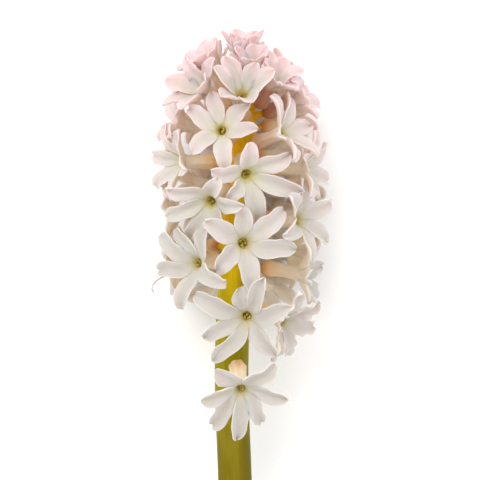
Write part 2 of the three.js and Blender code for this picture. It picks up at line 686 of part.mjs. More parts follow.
// The stem and all its pedicels, joined in one solid.
function scapeGeometry() {
  const joined = florets.reduce(
    (stem, floret) => stem.add(solidOf(pedicelSurface(floret))),
    solidOf(stemSurface()),
  );
  const mesh = joined.getMesh();
  const geometry = new THREE.BufferGeometry();
  geometry.setAttribute("position", new THREE.BufferAttribute(mesh.vertProperties, 3));
  geometry.setIndex(new THREE.BufferAttribute(mesh.triVerts, 1));
  return geometry;
}

const scapeFinish = new THREE.MeshStandardMaterial({ color: 0x9a8a2c, roughness: 0.45, metalness: 0 });
const tepalFinish = new THREE.MeshStandardMaterial({ color: 0xf3e6df, roughness: 0.5, metalness: 0 });

const hyacinth = new THREE.Group();

function addPiece(name, geometry, material) {
  const mesh = new THREE.Mesh(geometry, material);
  mesh.name = name;
  hyacinth.add(mesh);
}

addPiece("scape", scapeGeometry(), scapeFinish);
florets.forEach((floret, n) => {
  addPiece(`floret_${String(n + 1).padStart(2, "0")}`, floretGeometry(floret), tepalFinish);
});

// The origin goes to the middle of the flower's outline, on the surface.
const box = new THREE.Box3().setFromObject(hyacinth);
const middle = box.getCenter(new THREE.Vector3());
hyacinth.position.set(-middle.x, -middle.y, -box.min.z);

export default hyacinth;
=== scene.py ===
import math
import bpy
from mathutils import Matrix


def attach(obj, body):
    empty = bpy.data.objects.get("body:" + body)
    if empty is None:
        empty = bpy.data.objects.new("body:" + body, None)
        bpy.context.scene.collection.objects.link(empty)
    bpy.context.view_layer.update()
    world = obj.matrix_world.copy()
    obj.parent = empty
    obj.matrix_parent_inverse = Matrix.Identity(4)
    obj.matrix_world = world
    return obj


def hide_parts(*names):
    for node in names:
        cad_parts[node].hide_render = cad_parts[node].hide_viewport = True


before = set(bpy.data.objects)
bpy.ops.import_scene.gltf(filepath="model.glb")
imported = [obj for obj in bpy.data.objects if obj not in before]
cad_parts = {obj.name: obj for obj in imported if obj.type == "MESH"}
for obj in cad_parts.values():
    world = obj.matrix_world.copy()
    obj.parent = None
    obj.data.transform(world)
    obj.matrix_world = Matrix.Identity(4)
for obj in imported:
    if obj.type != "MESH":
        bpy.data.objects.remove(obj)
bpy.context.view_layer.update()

from types import SimpleNamespace as Record

import bpy
import numpy as np
from mathutils import Vector

# The flower's own frame, in millimetres, as in the part: the scape runs along +Y from its cut end,
# +Z is up, and the surface is just under z = 0.
MM = 0.001

# The scape
SCAPE_LENGTH = 182
SCAPE_RADIUS = 6.7
SCAPE_TAPER = Record(start=125, end=195, loss=0.62)
SCAPE_SAG = Record(at=62, spread=36, depth=-1.8)
SCAPE_LEAN = Record(start=80, end=170, width=3.4)
AXIS_HEIGHT = 27
PEDICEL_LENGTH = 3
PEDICEL_RADIUS = 1.5
SEAT_GAP = 0.3

# How a floret's tube leaves the scape. Its root lies below its throat, more so the higher it looks, and
# its bends are shares of its span.
ROOT_DROP = 1.5
ROOT_DROP_BY_PITCH = 14
ROOM_AT_TOP = 2
OUTWARD_PITCH = 12
OUTWARD_TURN = 0.3
TUBE_BENDS = (0.4, 0.45)

# One floret at size 1
LOBE_LENGTH = 16.2
LOBE_HALF_WIDTH = 3.9
LOBE_ROOT_WIDTH = 0.5
LOBE_GAP = 0.14
LOBE_CROWDING = 8
LOBE_WIDEST = 0.4
LOBE_TAPER = 2.1
LOBE_BLUNTNESS = 0.72
YOUNG = Record(start=162, end=180, broad=0.18, blunt=0.16)
LOBE_CHANNEL = 0.3
LOBE_SWING = 0.7
THROAT_RADIUS = 3.3
THROAT_WALL = 0.8
THROAT_DEPTH = 6
VARY_ANGLE, VARY_OPEN, VARY_LENGTH, VARY_TWIST, VARY_BEND = 8, 9, 0.06, 12, 0.1

# A lobe's curl at its root is a share of its whole curl. Its width is held by its neighbours: by how
# far its channel leans to them, and by half the turn to them, which counts as no less and no more
# than so many degrees. A lap gives it more.
CURL_AT_ROOT = 0.42
CHANNEL_LEAN = 0.6
CHANNEL_LEVEL = 0.4
LEAST_TURN, MOST_TURN = 4, 60
WIDER_BY_LAP = 0.25

# How lobes that meet are bent clear of each other
GRID_ALONG = 6
GRID_ACROSS = 4
LOBE_SPACING = 2.7
TUBE_CLEARANCE = 0.9
SCAPE_CLEARANCE = 1.1
SURFACE_CLEARANCE = 0.65
BEND_ROUNDS = 200
GROWTH_ROUNDS = 160
BUD_SHARE = 0.2
SETTLE_ROUNDS = 20
SETTLING_CALM = 4
BEND_SMOOTHING = 0.3
SHARED_PUSH = 0.6

# Tubes stand as rows of balls. Neighbours are searched for again when a point has moved by a share of
# the margin, and lobes of one floret are kept apart only from a row of the grid on.
TUBE_BALLS = 6
BALL_REACH = 10
SEARCH_MARGIN = 2.4
SEARCH_STEP = 0.25
FREE_ROW = 3

# Height, azimuth, reach, yaw, pitch, open and size of each floret at the front and the sides of the head.
# Then either the way and the length of each lobe, or the turn of evenly spaced ones.
FRONT_FLORETS = [
    (57.6, 9, 24, 6, -32, 112, 1,
     [-1, 44, 138, 186, 232, 269, 308], [1.05, 0.98, 0.8, 0.88, 1.15, 1.25, 0.92]),
    (86, 12, 24.5, -12, -18, 108, 1.05, [15, 65, 96, 147, 209, 236, 303], [1.1, 1.05, 0.6, 1.2, 1, 1.2, 1]),
    (107, -40, 24.5, -38, 0, 105, 1, [66, 118, 146, 188, 259, 336], [0.85, 0.9, 1.05, 0.97, 1.08, 1.25]),
    (114.8, 5, 24.5, 12, 0, 108, 1.1, [33, 98, 154, 214, 272, 351], [1.05, 0.85, 0.95, 0.95, 1, 1.05]),
    (131, -30, 24, -24, -20, 100, 1, [1, 57, 158, 190, 240, 292], [0.95, 0.85, 1, 1.05, 1, 0.75]),
    (141.5, 4, 24, 20, -20, 100, 1.05, [34, 103, 180, 222, 290, 347], [1, 0.75, 0.85, 0.8, 1.1, 1.3]),
    (159, -22, 24, -8, 13, 102, 0.95, [45, 106, 150, 216, 280, 350], [0.95, 0.9, 1, 0.85, 1.1, 0.9]),
    (173, -3, 20.5, 2, 40, 58, 1, [15, 62, 112, 155, 225, 292], [0.95, 0.85, 0.9, 0.9, 0.8, 0.8]),
    (158, 38, 24, 58, 18, 92, 0.92, 8, None),
    (144, 72, 24.6, 68, 0, 92, 0.9, -15, None),
    (124, 62, 26, 55, 5, 100, 1, 30, None),
    (103, 80, 25, 80, -3, 84, 0.95, 10, None),
    (83.5, 54, 24.5, 54, -20, 98, 0.92, -10, [1, 1, 1, 1, 1.05, 0.82]),
    (174.5, -50, 20.5, -52, 26, 68, 1, -6, [0.9, 0.8, 0.9, 0.95, 0.95, 0.9]),
    (185.5, -64, 15, -60, 44, 62, 0.9, 8, [0.68, 0.65, 0.7, 0.75, 0.8, 0.75]),
    (190.6, 180, 4.5, 178, 98, 44, 0.92, 0, [0.75, 0.72, 0.75, 0.78, 0.72, 0.68]),
    (178, 44, 15.5, 44, 40, 58, 0.92, 40, [0.7, 0.75, 0.85, 0.8, 0.8, 0.8]),
    (172, 78, 18.5, 74, 26, 74, 0.92, 26, [0.8, 0.75, 0.85, 0.95, 0.85, 0.85]),
    (162, -82, 24, -78, 12, 90, 0.92, 25, None),
    (147, -70, 25.2, -66, 3, 90, 0.95, -14, None),
    (127, -90, 23.8, -92, -3, 98, 0.92, 20, None),
    (107, -102, 23.5, -98, -4, 112, 0.85, 10, None),
    (183, 10, 12.5, 8, 50, 50, 0.86, 15, [0.75, 0.68, 0.72, 0.8, 0.75, 0.8]),
    (188.5, -14, 8, -12, 62, 22, 0.6, 40, [0.8] * 6),
    (182, 112, 12, 112, 44, 60, 0.66, 5, None),
    (185, -118, 11.5, -118, 46, 60, 0.64, 25, None),
    (188.5, 44, 5, 30, 64, 22, 0.55, 10, [0.8] * 6),
]

# The back of the head, in rows that alternate between two florets and three. Towards the top they
# are smaller, reach less far out and look further up.
BACK_ROWS = Record(start=98, step=13.5, count=7, azimuths=[[146, 195], [120, 172, 225]])
BACK_SIZE = Record(full=0.9, loss=0.25, over=(130, 190))
BACK_REACH = Record(full=24, loss=8, over=(150, 190))
BACK_PITCH = Record(low=-12, rise=42, over=(90, 190))
BACK_OPEN = 100
BACK_ROLL = 30
BACK_CLEARANCE = 6

# How finely the pieces are drawn
LOBE_ROWS = 28
LOBE_COLUMNS = 14
TUBE_RINGS = 14
THROAT_RINGS = 9

# The number that sets each kind of draw apart
DRAWS = {
    "angle": 1, "open": 2, "length": 3, "twist": 4, "bend": 5, "roll": 8, "phase": 8, "waves": 9, "frill": 10,
    "ribs": 11, "tone": 12, "hood": 13, "flick": 14, "turn": 15, "sway": 16, "stamen": 14, "depth": 15}


def smoothstep(value, low, high):
    share = np.clip((value - low) / (high - low), 0, 1)
    return share * share * (3 - 2 * share)


def unit(vectors):
    return vectors / np.maximum(np.linalg.norm(vectors, axis=-1, keepdims=True), 1e-12)


def draw(floret, lobe, kind):
    """A repeatable draw between -1 and 1 for one lobe of one floret."""
    wave = math.sin(floret * 12.9898 + lobe * 78.233 + DRAWS[kind] * 37.719) * 43758.5453
    return 2 * (wave - math.floor(wave)) - 1


def direction(yaw, pitch):
    """Points yaw degrees round the scape from the top and pitch degrees up it."""
    yaw, pitch = math.radians(yaw), math.radians(pitch)
    level = math.cos(pitch)
    return np.array([math.sin(yaw) * level, math.sin(pitch), math.cos(yaw) * level])


def scape_radius(height):
    return SCAPE_RADIUS * (1 - SCAPE_TAPER.loss * smoothstep(height, SCAPE_TAPER.start, SCAPE_TAPER.end))


def scape_centre(height):
    height = np.asarray(height, float)
    sag = SCAPE_SAG.depth * np.exp(-(((height - SCAPE_SAG.at) / SCAPE_SAG.spread) ** 2))
    lean = SCAPE_LEAN.width * smoothstep(height, SCAPE_LEAN.start, SCAPE_LEAN.end)
    return np.stack([sag + lean, height, np.full_like(height, AXIS_HEIGHT)], axis=-1)


def front_florets():
    for height, azimuth, reach, yaw, pitch, open_angle, size, angles, lengths in FRONT_FLORETS:
        even = isinstance(angles, int)
        yield Record(
            height=height, azimuth=azimuth, reach=reach, yaw=yaw, pitch=pitch, open=open_angle, size=size,
            angles=None if even else angles, lengths=lengths, roll=angles if even else None)


def back_florets():
    for row in range(BACK_ROWS.count):
        height = BACK_ROWS.start + row * BACK_ROWS.step
        for place, azimuth in enumerate(BACK_ROWS.azimuths[row % 2]):
            room = (AXIS_HEIGHT - BACK_CLEARANCE) / -math.cos(math.radians(azimuth))
            reach = min(BACK_REACH.full - BACK_REACH.loss * smoothstep(height, *BACK_REACH.over), room)
            yield Record(
                height=height, azimuth=azimuth, reach=reach, yaw=azimuth, open=BACK_OPEN,
                pitch=BACK_PITCH.low + BACK_PITCH.rise * smoothstep(height, *BACK_PITCH.over),
                size=BACK_SIZE.full - BACK_SIZE.loss * smoothstep(height, *BACK_SIZE.over),
                angles=None, lengths=None, roll=BACK_ROLL * draw(row, place, "roll"))


def place(floret, index):
    """Adds where the floret's throat is, the way it faces and its tube's curve from the pedicel."""
    f = floret
    f.index = index
    f.facing = direction(f.yaw, f.pitch)
    f.right = unit(np.cross([0, 1, 0], f.facing))
    f.up = np.cross(f.facing, f.right)
    f.throat = scape_centre(f.height) + direction(f.azimuth, 0) * f.reach
    below = ROOT_DROP + ROOT_DROP_BY_PITCH * f.size * math.sin(math.radians(f.pitch))
    seat_height = min(f.height - below, SCAPE_LENGTH - ROOM_AT_TOP)
    f.outward = direction(f.azimuth - OUTWARD_TURN * (f.yaw - f.azimuth), OUTWARD_PITCH)
    f.pedicel_root = scape_centre(seat_height)
    f.pedicel_end = scape_radius(seat_height) + PEDICEL_LENGTH * f.size
    f.seat = f.pedicel_root + f.outward * (f.pedicel_end + SEAT_GAP)
    span = np.linalg.norm(f.throat - f.seat)
    first, last = np.multiply(TUBE_BENDS, span)
    f.tube = np.array([f.seat, f.seat + f.outward * first, f.throat - f.facing * last, f.throat])
    if f.angles is None:
        f.angles = [f.roll + 60 * lobe + VARY_ANGLE * draw(index, lobe, "angle") for lobe in range(6)]
    f.lobes = len(f.angles)
    if f.roll is None:
        f.roll = sum(angle - 360 / f.lobes * lobe for lobe, angle in enumerate(f.angles)) / f.lobes
    return f


def tube_point(floret, share):
    t = np.asarray(share, float)[..., None]
    a, b, c, d = floret.tube
    return (1 - t) ** 3 * a + 3 * (1 - t) ** 2 * t * b + 3 * (1 - t) * t * t * c + t ** 3 * d


def tube_tangent(floret, share):
    t = np.asarray(share, float)[..., None]
    a, b, c, d = floret.tube
    return unit((1 - t) ** 2 * (b - a) + 2 * (1 - t) * t * (c - b) + t * t * (d - c))


def tube_length(floret):
    points = tube_point(floret, np.linspace(0, 1, 201))
    return np.linalg.norm(np.diff(points, axis=0), axis=1).sum()


def turned(vector, start, end):
    """The vector carried along when start turns the short way to end."""
    axis = np.cross(start, end)
    cosine = float(start @ end)
    return vector * cosine + np.cross(axis, vector) + axis * (axis @ vector) / (1 + cosine)


florets = [place(floret, n) for n, floret in enumerate([*front_florets(), *back_florets()])]


def youth(f):
    """From 0 for the open florets to 1 for the youngest ones at the top."""
    return smoothstep(f.height, YOUNG.start, YOUNG.end)


def half_width(f, share):
    """Half the width of a lobe a share of the way from its root to its tip. The youngest lobes are broad."""
    swell = np.sin(math.pi / 2 * np.minimum(share / LOBE_WIDEST, 1))
    past = np.maximum(0, (share - LOBE_WIDEST) / (1 - LOBE_WIDEST))
    taper = np.maximum(0, 1 - past ** LOBE_TAPER) ** (LOBE_BLUNTNESS - YOUNG.blunt * youth(f))
    full = LOBE_HALF_WIDTH * (1 + YOUNG.broad * youth(f))
    return full * (LOBE_ROOT_WIDTH + (1 - LOBE_ROOT_WIDTH) * swell) * taper


def lobe_angle(f, lobe, share):
    """Which way a lobe points round the throat, in degrees: it swings from an even root to its own way."""
    root_angle = f.roll + 360 / f.lobes * lobe
    own_angle = f.angles[lobe % f.lobes] + 360 * (lobe // f.lobes)
    return root_angle + (own_angle - root_angle) * smoothstep(share, 0, LOBE_SWING)


def free_points(f, lobe, shares, sides, lap=1.0):
    """A lobe as it grows unhindered: a row for each share from root to tip, a column for each side.

    Lap says how far it may widen over its neighbours, where 1 lets it just meet them.
    """
    share = np.asarray(shares, float)[:, None, None]
    side = np.asarray(sides, float)[None, :, None]
    degrees = lobe_angle(f, lobe, share)
    angle = np.radians(degrees)
    out = f.right * np.cos(angle) + f.up * np.sin(angle)
    across = -f.right * np.sin(angle) + f.up * np.cos(angle)
    curl = math.radians(f.open + VARY_OPEN * draw(f.index, lobe, "open"))
    start = CURL_AT_ROOT * curl
    now = start + (curl - start) * share
    longer = f.lengths[lobe] if f.lengths else 1 + VARY_LENGTH * draw(f.index, lobe, "length")
    length = LOBE_LENGTH * longer
    spread = length * (np.cos(start) - np.cos(now)) / (curl - start)
    rise = length * (np.sin(now) - np.sin(start)) / (curl - start)
    inner = f.facing * np.sin(now) - out * np.cos(now)
    twist = math.radians(VARY_TWIST * draw(f.index, lobe, "twist")) * share
    next_apart = lobe_angle(f, lobe + 1, share) - degrees
    last_apart = degrees - lobe_angle(f, lobe - 1, share)
    slope = np.tan(np.radians(np.clip(np.where(side > 0, next_apart, last_apart) / 2, LEAST_TURN, MOST_TURN)))
    reach = THROAT_RADIUS - THROAT_WALL / 2 + spread
    bend = length * VARY_BEND * draw(f.index, lobe, "bend") * share * share
    lean = (CHANNEL_LEAN * LOBE_CHANNEL + np.abs(np.sin(twist))) * np.maximum(0, np.cos(now))
    room = lap * (reach * slope - LOBE_GAP - np.abs(bend)) / (1 + lean * slope)
    free = half_width(f, share) * (1 + WIDER_BY_LAP * (lap - 1))
    fitted = free / (1 + (free / room) ** LOBE_CROWDING) ** (1 / LOBE_CROWDING)
    width = fitted * side
    hollow = LOBE_CHANNEL * fitted * (side * side - CHANNEL_LEVEL)
    return (f.throat
            + out * f.size * reach
            + f.facing * f.size * rise
            + across * f.size * (width * np.cos(twist) + bend)
            + inner * f.size * (width * np.sin(twist) + hollow))


def lobe_grid():
    """The points that stand for every lobe while they are bent clear of each other."""
    shares = np.arange(GRID_ALONG + 1) / GRID_ALONG
    sides = 2 * np.arange(GRID_ACROSS + 1) / GRID_ACROSS - 1
    roots, free, owner, lobe_of = [], [], [], []
    for floret in florets:
        floret.first = len(free)
        for lobe in range(floret.lobes):
            roots.append(free_points(floret, lobe, [0], [0])[0, 0])
            free.append(free_points(floret, lobe, shares, sides))
            owner.append(floret.index)
            lobe_of.append(lobe)
    each = (GRID_ALONG + 1) * (GRID_ACROSS + 1)
    return Record(
        root=np.repeat(np.array(roots), each, axis=0),
        free=np.array(free).reshape(-1, 3),
        owner=np.repeat(owner, each),
        lobe=np.repeat(lobe_of, each),
        step=np.tile(np.repeat(np.arange(GRID_ALONG + 1), GRID_ACROSS + 1), len(free)),
        size=np.repeat([florets[n].size for n in owner], each))


def obstacle_balls():
    """Round obstacles that lobes are pushed off: the tubes and the pedicels."""
    centres, radii, owner = [], [], []
    for floret in florets:
        for step in range(TUBE_BALLS):
            centres.append(tube_point(floret, (step + 1) / (TUBE_BALLS + 1)))
            radii.append(THROAT_RADIUS * floret.size + TUBE_CLEARANCE)
        centres.append(floret.pedicel_root + floret.outward * floret.pedicel_end)
        radii.append(PEDICEL_RADIUS + TUBE_CLEARANCE)
        owner += [floret.index] * (TUBE_BALLS + 1)
    return np.array(centres), np.array(radii), np.array(owner)


def pairs_near(grid, at, reach):
    """Every ordered pair of points of different lobes that lie nearer than reach."""
    first, second = [], []
    members = [np.flatnonzero(grid.owner == n) for n in range(len(florets))]
    low = np.array([at[m].min(axis=0) for m in members]) - reach
    high = np.array([at[m].max(axis=0) for m in members]) + reach
    for a in range(len(florets)):
        for b in range(a, len(florets)):
            if np.any(low[a] + reach > high[b]) or np.any(low[b] + reach > high[a]):
                continue
            gaps = ((at[members[a]][:, None] - at[members[b]][None]) ** 2).sum(axis=-1)
            p, q = np.nonzero(gaps < reach * reach)
            p, q = members[a][p], members[b][q]
            if a == b:
                rows = np.minimum(grid.step[p], grid.step[q])
                apart = (grid.lobe[p] != grid.lobe[q]) & (rows >= FREE_ROW)
                first.append(p[apart])
                second.append(q[apart])
            else:
                first += [p, q]
                second += [q, p]
    return np.concatenate(first), np.concatenate(second)


def balls_near(grid, at, centres, radii, owner):
    """Every pair of a point and a ball that isn't its own floret's where they may soon touch."""
    point, ball = [], []
    reach = LOBE_LENGTH + THROAT_RADIUS + BALL_REACH
    for floret in florets:
        members = np.flatnonzero(grid.owner == floret.index)
        within = np.linalg.norm(centres - floret.throat, axis=1) < reach
        others = np.flatnonzero((owner != floret.index) & within)
        gaps = np.linalg.norm(at[members][:, None] - centres[others][None], axis=-1)
        p, b = np.nonzero(gaps < radii[others] + SEARCH_MARGIN)
        point.append(members[p])
        ball.append(others[b])
    return np.concatenate(point), np.concatenate(ball)


def pushed(points, away, space, share, count):
    """The push on each of count points until it's a space away, and how many pushes it is summed from."""
    gap = np.linalg.norm(away, axis=1)
    close = (gap < space) & (gap > 0)
    strength = (share * (space - gap))[close] / gap[close]
    points, pushes = points[close], away[close] * strength[:, None]
    push = np.stack([np.bincount(points, pushes[:, axis], count) for axis in range(3)], axis=1)
    return push, np.bincount(points, minlength=count)


def smoothed(moved, amount):
    """Each move drawn towards its neighbours' in the lobe, so that lobes bend and don't crumple."""
    field = moved.reshape(-1, GRID_ALONG + 1, GRID_ACROSS + 1, 3)
    total = np.zeros_like(field)
    count = np.zeros(field.shape[:3] + (1,))
    for axis in (1, 2):
        rows, sums, counts = (np.moveaxis(array, axis, 0) for array in (field, total, count))
        sums[1:] += rows[:-1]
        sums[:-1] += rows[1:]
        counts[1:] += 1
        counts[:-1] += 1
    result = field + (total / count - field) * amount
    result[:, 0] = field[:, 0]
    return result.reshape(-1, 3)


def join_roots(moved):
    """Lobes are joined side by side at their roots, so the edges that meet there move together."""
    field = moved.reshape(-1, GRID_ALONG + 1, GRID_ACROSS + 1, 3)
    for f in florets:
        lobes = f.first + np.arange(f.lobes)
        following = f.first + (np.arange(f.lobes) + 1) % f.lobes
        for step in (1, 2):
            after, before = field[lobes, step, -1], field[following, step, 0]
            mean = (after + before) / 2
            field[lobes, step, -1] += (mean - after) / step
            field[following, step, 0] += (mean - before) / step
    return field.reshape(-1, 3)


def bend_clear():
    """Bends every lobe clear of the other florets, the scape and the surface that the flower lies on."""
    grid = lobe_grid()
    count = len(grid.free)
    centres, radii, ball_owner = obstacle_balls()
    moved = np.zeros_like(grid.free)
    freedom = np.minimum(1, grid.step / 2)[:, None]
    searched = None
    for turn in range(BEND_ROUNDS):
        growth = min(1, BUD_SHARE + (1 - BUD_SHARE) * (turn / GROWTH_ROUNDS))
        at = grid.root + (grid.free - grid.root) * growth + moved
        if searched is None or np.abs(at - searched).max() > SEARCH_MARGIN * SEARCH_STEP:
            searched = at
            reach = LOBE_SPACING * max(f.size for f in florets) + SEARCH_MARGIN
            p, q = pairs_near(grid, at, reach)
            space = LOBE_SPACING * (grid.size[p] + grid.size[q]) / 2
            share = np.where(grid.step[q] < 2, 1.0, 0.5)
            bp, bb = balls_near(grid, at, centres, radii, ball_owner)
        push, meets = pushed(p, at[p] - at[q], space, share, count)
        push /= np.maximum(1, SHARED_PUSH * meets)[:, None]
        push += pushed(bp, at[bp] - centres[bb], radii[bb], 1, count)[0]
        height = np.clip(at[:, 1], 0, SCAPE_LENGTH)
        away = at - scape_centre(height)
        gap = np.linalg.norm(away, axis=1)
        radius = scape_radius(height) + SCAPE_CLEARANCE
        push += away * (np.maximum(0, radius - gap) / gap)[:, None]
        push[:, 2] += np.maximum(0, SURFACE_CLEARANCE - at[:, 2])
        moved = moved + push * freedom
        settling = turn >= BEND_ROUNDS - SETTLE_ROUNDS
        moved = join_roots(smoothed(moved, BEND_SMOOTHING / (SETTLING_CALM if settling else 1)))
    return moved.reshape(-1, GRID_ALONG + 1, GRID_ACROSS + 1, 3)


def between_weights(values, steps):
    """For each value, how much each of the even steps counts by the Catmull-Rom rule."""
    weights = np.zeros((len(values), steps + 1))
    cell = np.minimum(np.floor(values).astype(int), steps - 1)
    t = values - cell
    parts = [
        0.5 * (-t + 2 * t ** 2 - t ** 3),
        1 + 0.5 * (-5 * t ** 2 + 3 * t ** 3),
        0.5 * (t + 4 * t ** 2 - 3 * t ** 3),
        0.5 * (-t ** 2 + t ** 3),
    ]
    for offset, part in enumerate(parts):
        step = np.clip(cell + offset - 1, 0, steps)
        np.add.at(weights, (np.arange(len(values)), step), part)
    return weights


moves = bend_clear()


def lobe_points(f, lobe, shares, sides, lap=1.0):
    along = between_weights(np.asarray(shares) * GRID_ALONG, GRID_ALONG)
    across = between_weights((np.asarray(sides) + 1) / 2 * GRID_ACROSS, GRID_ACROSS)
    bent = np.einsum("ai,bj,ijk->abk", along, across, moves[f.first + lobe])
    return free_points(f, lobe, shares, sides, lap) + bent


# Where the flower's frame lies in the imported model, read from the scape's cut end
scape_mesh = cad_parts["scape"].data
scape_corners = np.array([corner.co[:] for corner in scape_mesh.vertices])
cut = scape_corners[scape_corners[:, 1] < scape_corners[:, 1].min() + 1e-5]
cut_centre = (cut.min(axis=0) + cut.max(axis=0)) / 2
OFFSET = cut_centre - scape_centre(0.0) * MM
SURFACE = -OFFSET[2] / MM


def placed(points):
    """Points of the flower's frame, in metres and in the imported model's frame."""
    return np.asarray(points) * MM + OFFSET


def add_layers(mesh, layers):
    """Gives every point of a mesh its number, or its vector, in each layer."""
    for name, rows in layers.items():
        rows = np.asarray(rows, np.float32)
        kind, key = ("FLOAT_VECTOR", "vector") if rows.ndim == 2 else ("FLOAT", "value")
        mesh.attributes.new(name, kind, "POINT").data.foreach_set(key, rows.ravel())


def in_scene(name, data):
    made = bpy.data.objects.new(name, data)
    bpy.context.scene.collection.objects.link(made)
    return made


def mesh_object(name, points, faces, material, layers=None):
    mesh = bpy.data.meshes.new(name)
    mesh.from_pydata(placed(points).tolist(), [], [list(face) for face in faces])
    add_layers(mesh, layers or {})
    mesh.materials.append(material)
    mesh.polygons.foreach_set("use_smooth", [True] * len(mesh.polygons))
    mesh.validate()
    return in_scene(name, mesh)


def srgb(red, green, blue):
    """A tone as a screen shows it, 0 to 255, as a colour for a socket."""
    def linear(value):
        value /= 255
        return value / 12.92 if value <= 0.04045 else ((value + 0.055) / 1.055) ** 2.4
    return (linear(red), linear(green), linear(blue), 1)


class Nodes:
    """A node tree, with short calls for its nodes."""

    def node(self, kind, inputs=None, **settings):
        made = self.tree.nodes.new(kind)
        for key, value in settings.items():
            setattr(made, key, value)
        for key, value in (inputs or {}).items():
            self.put(made.inputs[key], value)
        return made

    def made(self, kind, inputs=None, **settings):
        """The first output of a new node."""
        return self.node(kind, inputs, **settings).outputs[0]

    def put(self, socket, value):
        if isinstance(value, bpy.types.NodeSocket):
            self.tree.links.new(value, socket)
        else:
            socket.default_value = value

    def math(self, operation, a, b=0.0, clamp=False):
        return self.made("ShaderNodeMath", {0: a, 1: b}, operation=operation, use_clamp=clamp)

    def times(self, a, b):
        return self.math("MULTIPLY", a, b)

    def vector(self, x=0.0, y=0.0, z=0.0):
        return self.made("ShaderNodeCombineXYZ", {0: x, 1: y, 2: z})


class Shader(Nodes):
    """A finish: a material's node tree, with short calls for what its tones and its relief need."""

    def __init__(self, name):
        self.material = bpy.data.materials.new(name)
        self.material.use_nodes = True
        self.tree = self.material.node_tree
        self.surface = self.tree.nodes["Principled BSDF"]

    def set(self, **values):
        for key, value in values.items():
            self.put(self.surface.inputs[key.replace("_", " ")], value)

    def layer(self, name):
        return self.node("ShaderNodeAttribute", attribute_name=name).outputs["Fac"]

    def place(self, scale=(1, 1, 1)):
        coordinates = self.node("ShaderNodeTexCoord").outputs["Object"]
        return self.made("ShaderNodeMapping", {"Vector": coordinates, "Scale": scale})

    def place_along(self, axis):
        return self.node("ShaderNodeSeparateXYZ", {0: self.place()}).outputs[axis]

    def spread(self, value, low, high, to_low=0.0, to_high=1.0):
        inputs = {"Value": value, "From Min": low, "From Max": high, "To Min": to_low, "To Max": to_high}
        return self.made("ShaderNodeMapRange", inputs)

    def noise(self, vector, scale, detail=3.0, roughness=0.5):
        inputs = {"Vector": vector, "Scale": scale, "Detail": detail, "Roughness": roughness}
        return self.node("ShaderNodeTexNoise", inputs).outputs["Fac"]

    def ramp(self, value, stops):
        """The tone at a value, between stops that are a place and a tone each."""
        made = self.node("ShaderNodeValToRGB", {"Fac": value})
        elements = made.color_ramp.elements
        while len(elements) < len(stops):
            elements.new(0.5)
        for element, (at, *tone) in zip(elements, stops):
            element.position = at
            element.color = srgb(*tone)
        return made.outputs["Color"]

    def mix(self, share, a, b):
        return self.node("ShaderNodeMix", {"Factor": share, 6: a, 7: b}, data_type="RGBA").outputs[2]

    def tinted(self, ground, tints):
        """The ground with tints laid over it in turn, each as strong as its share says."""
        for share, tone in tints:
            ground = self.mix(share, ground, srgb(*tone))
        return ground

    def bump(self, height, strength, distance):
        inputs = {"Height": height, "Strength": strength, "Distance": distance}
        self.set(Normal=self.made("ShaderNodeBump", inputs))


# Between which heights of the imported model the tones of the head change
HEAD_SPAN = (40 * MM + OFFSET[1], 200 * MM + OFFSET[1])

# Places and tones from the tube's root at 0 over the throat's ring at 0.5 to a lobe's tip at 1
INSIDE_TONES = [
    (0.28, 112, 88, 14), (0.42, 188, 166, 44), (0.475, 204, 192, 92), (0.502, 210, 203, 146),
    (0.535, 211, 207, 184), (0.64, 208, 206, 198), (1.00, 208, 206, 202)]
# Outside, the orange-brown at the tube's root is partly the tube's own peach and partly painted warm shade
# near the stem
OUTSIDE_TONES = [
    (0.00, 222, 140, 58), (0.10, 244, 200, 138), (0.30, 248, 226, 192), (0.50, 243, 229, 210),
    (0.66, 232, 221, 208), (1.00, 226, 217, 211)]
# Places and tones from the stem's cut end at 0 to its top at 1. The golden upper part is partly painted
# light: lighter and warmer where the florets shade the stem, for the light that they let through.
STEM_TONES_AND_GLOW = [
    (0.00, 112, 96, 4), (0.16, 122, 106, 2), (0.26, 142, 130, 4), (0.38, 160, 152, 4),
    (0.52, 220, 194, 2), (0.68, 252, 206, 6), (0.84, 252, 200, 20), (1.00, 252, 188, 60)]


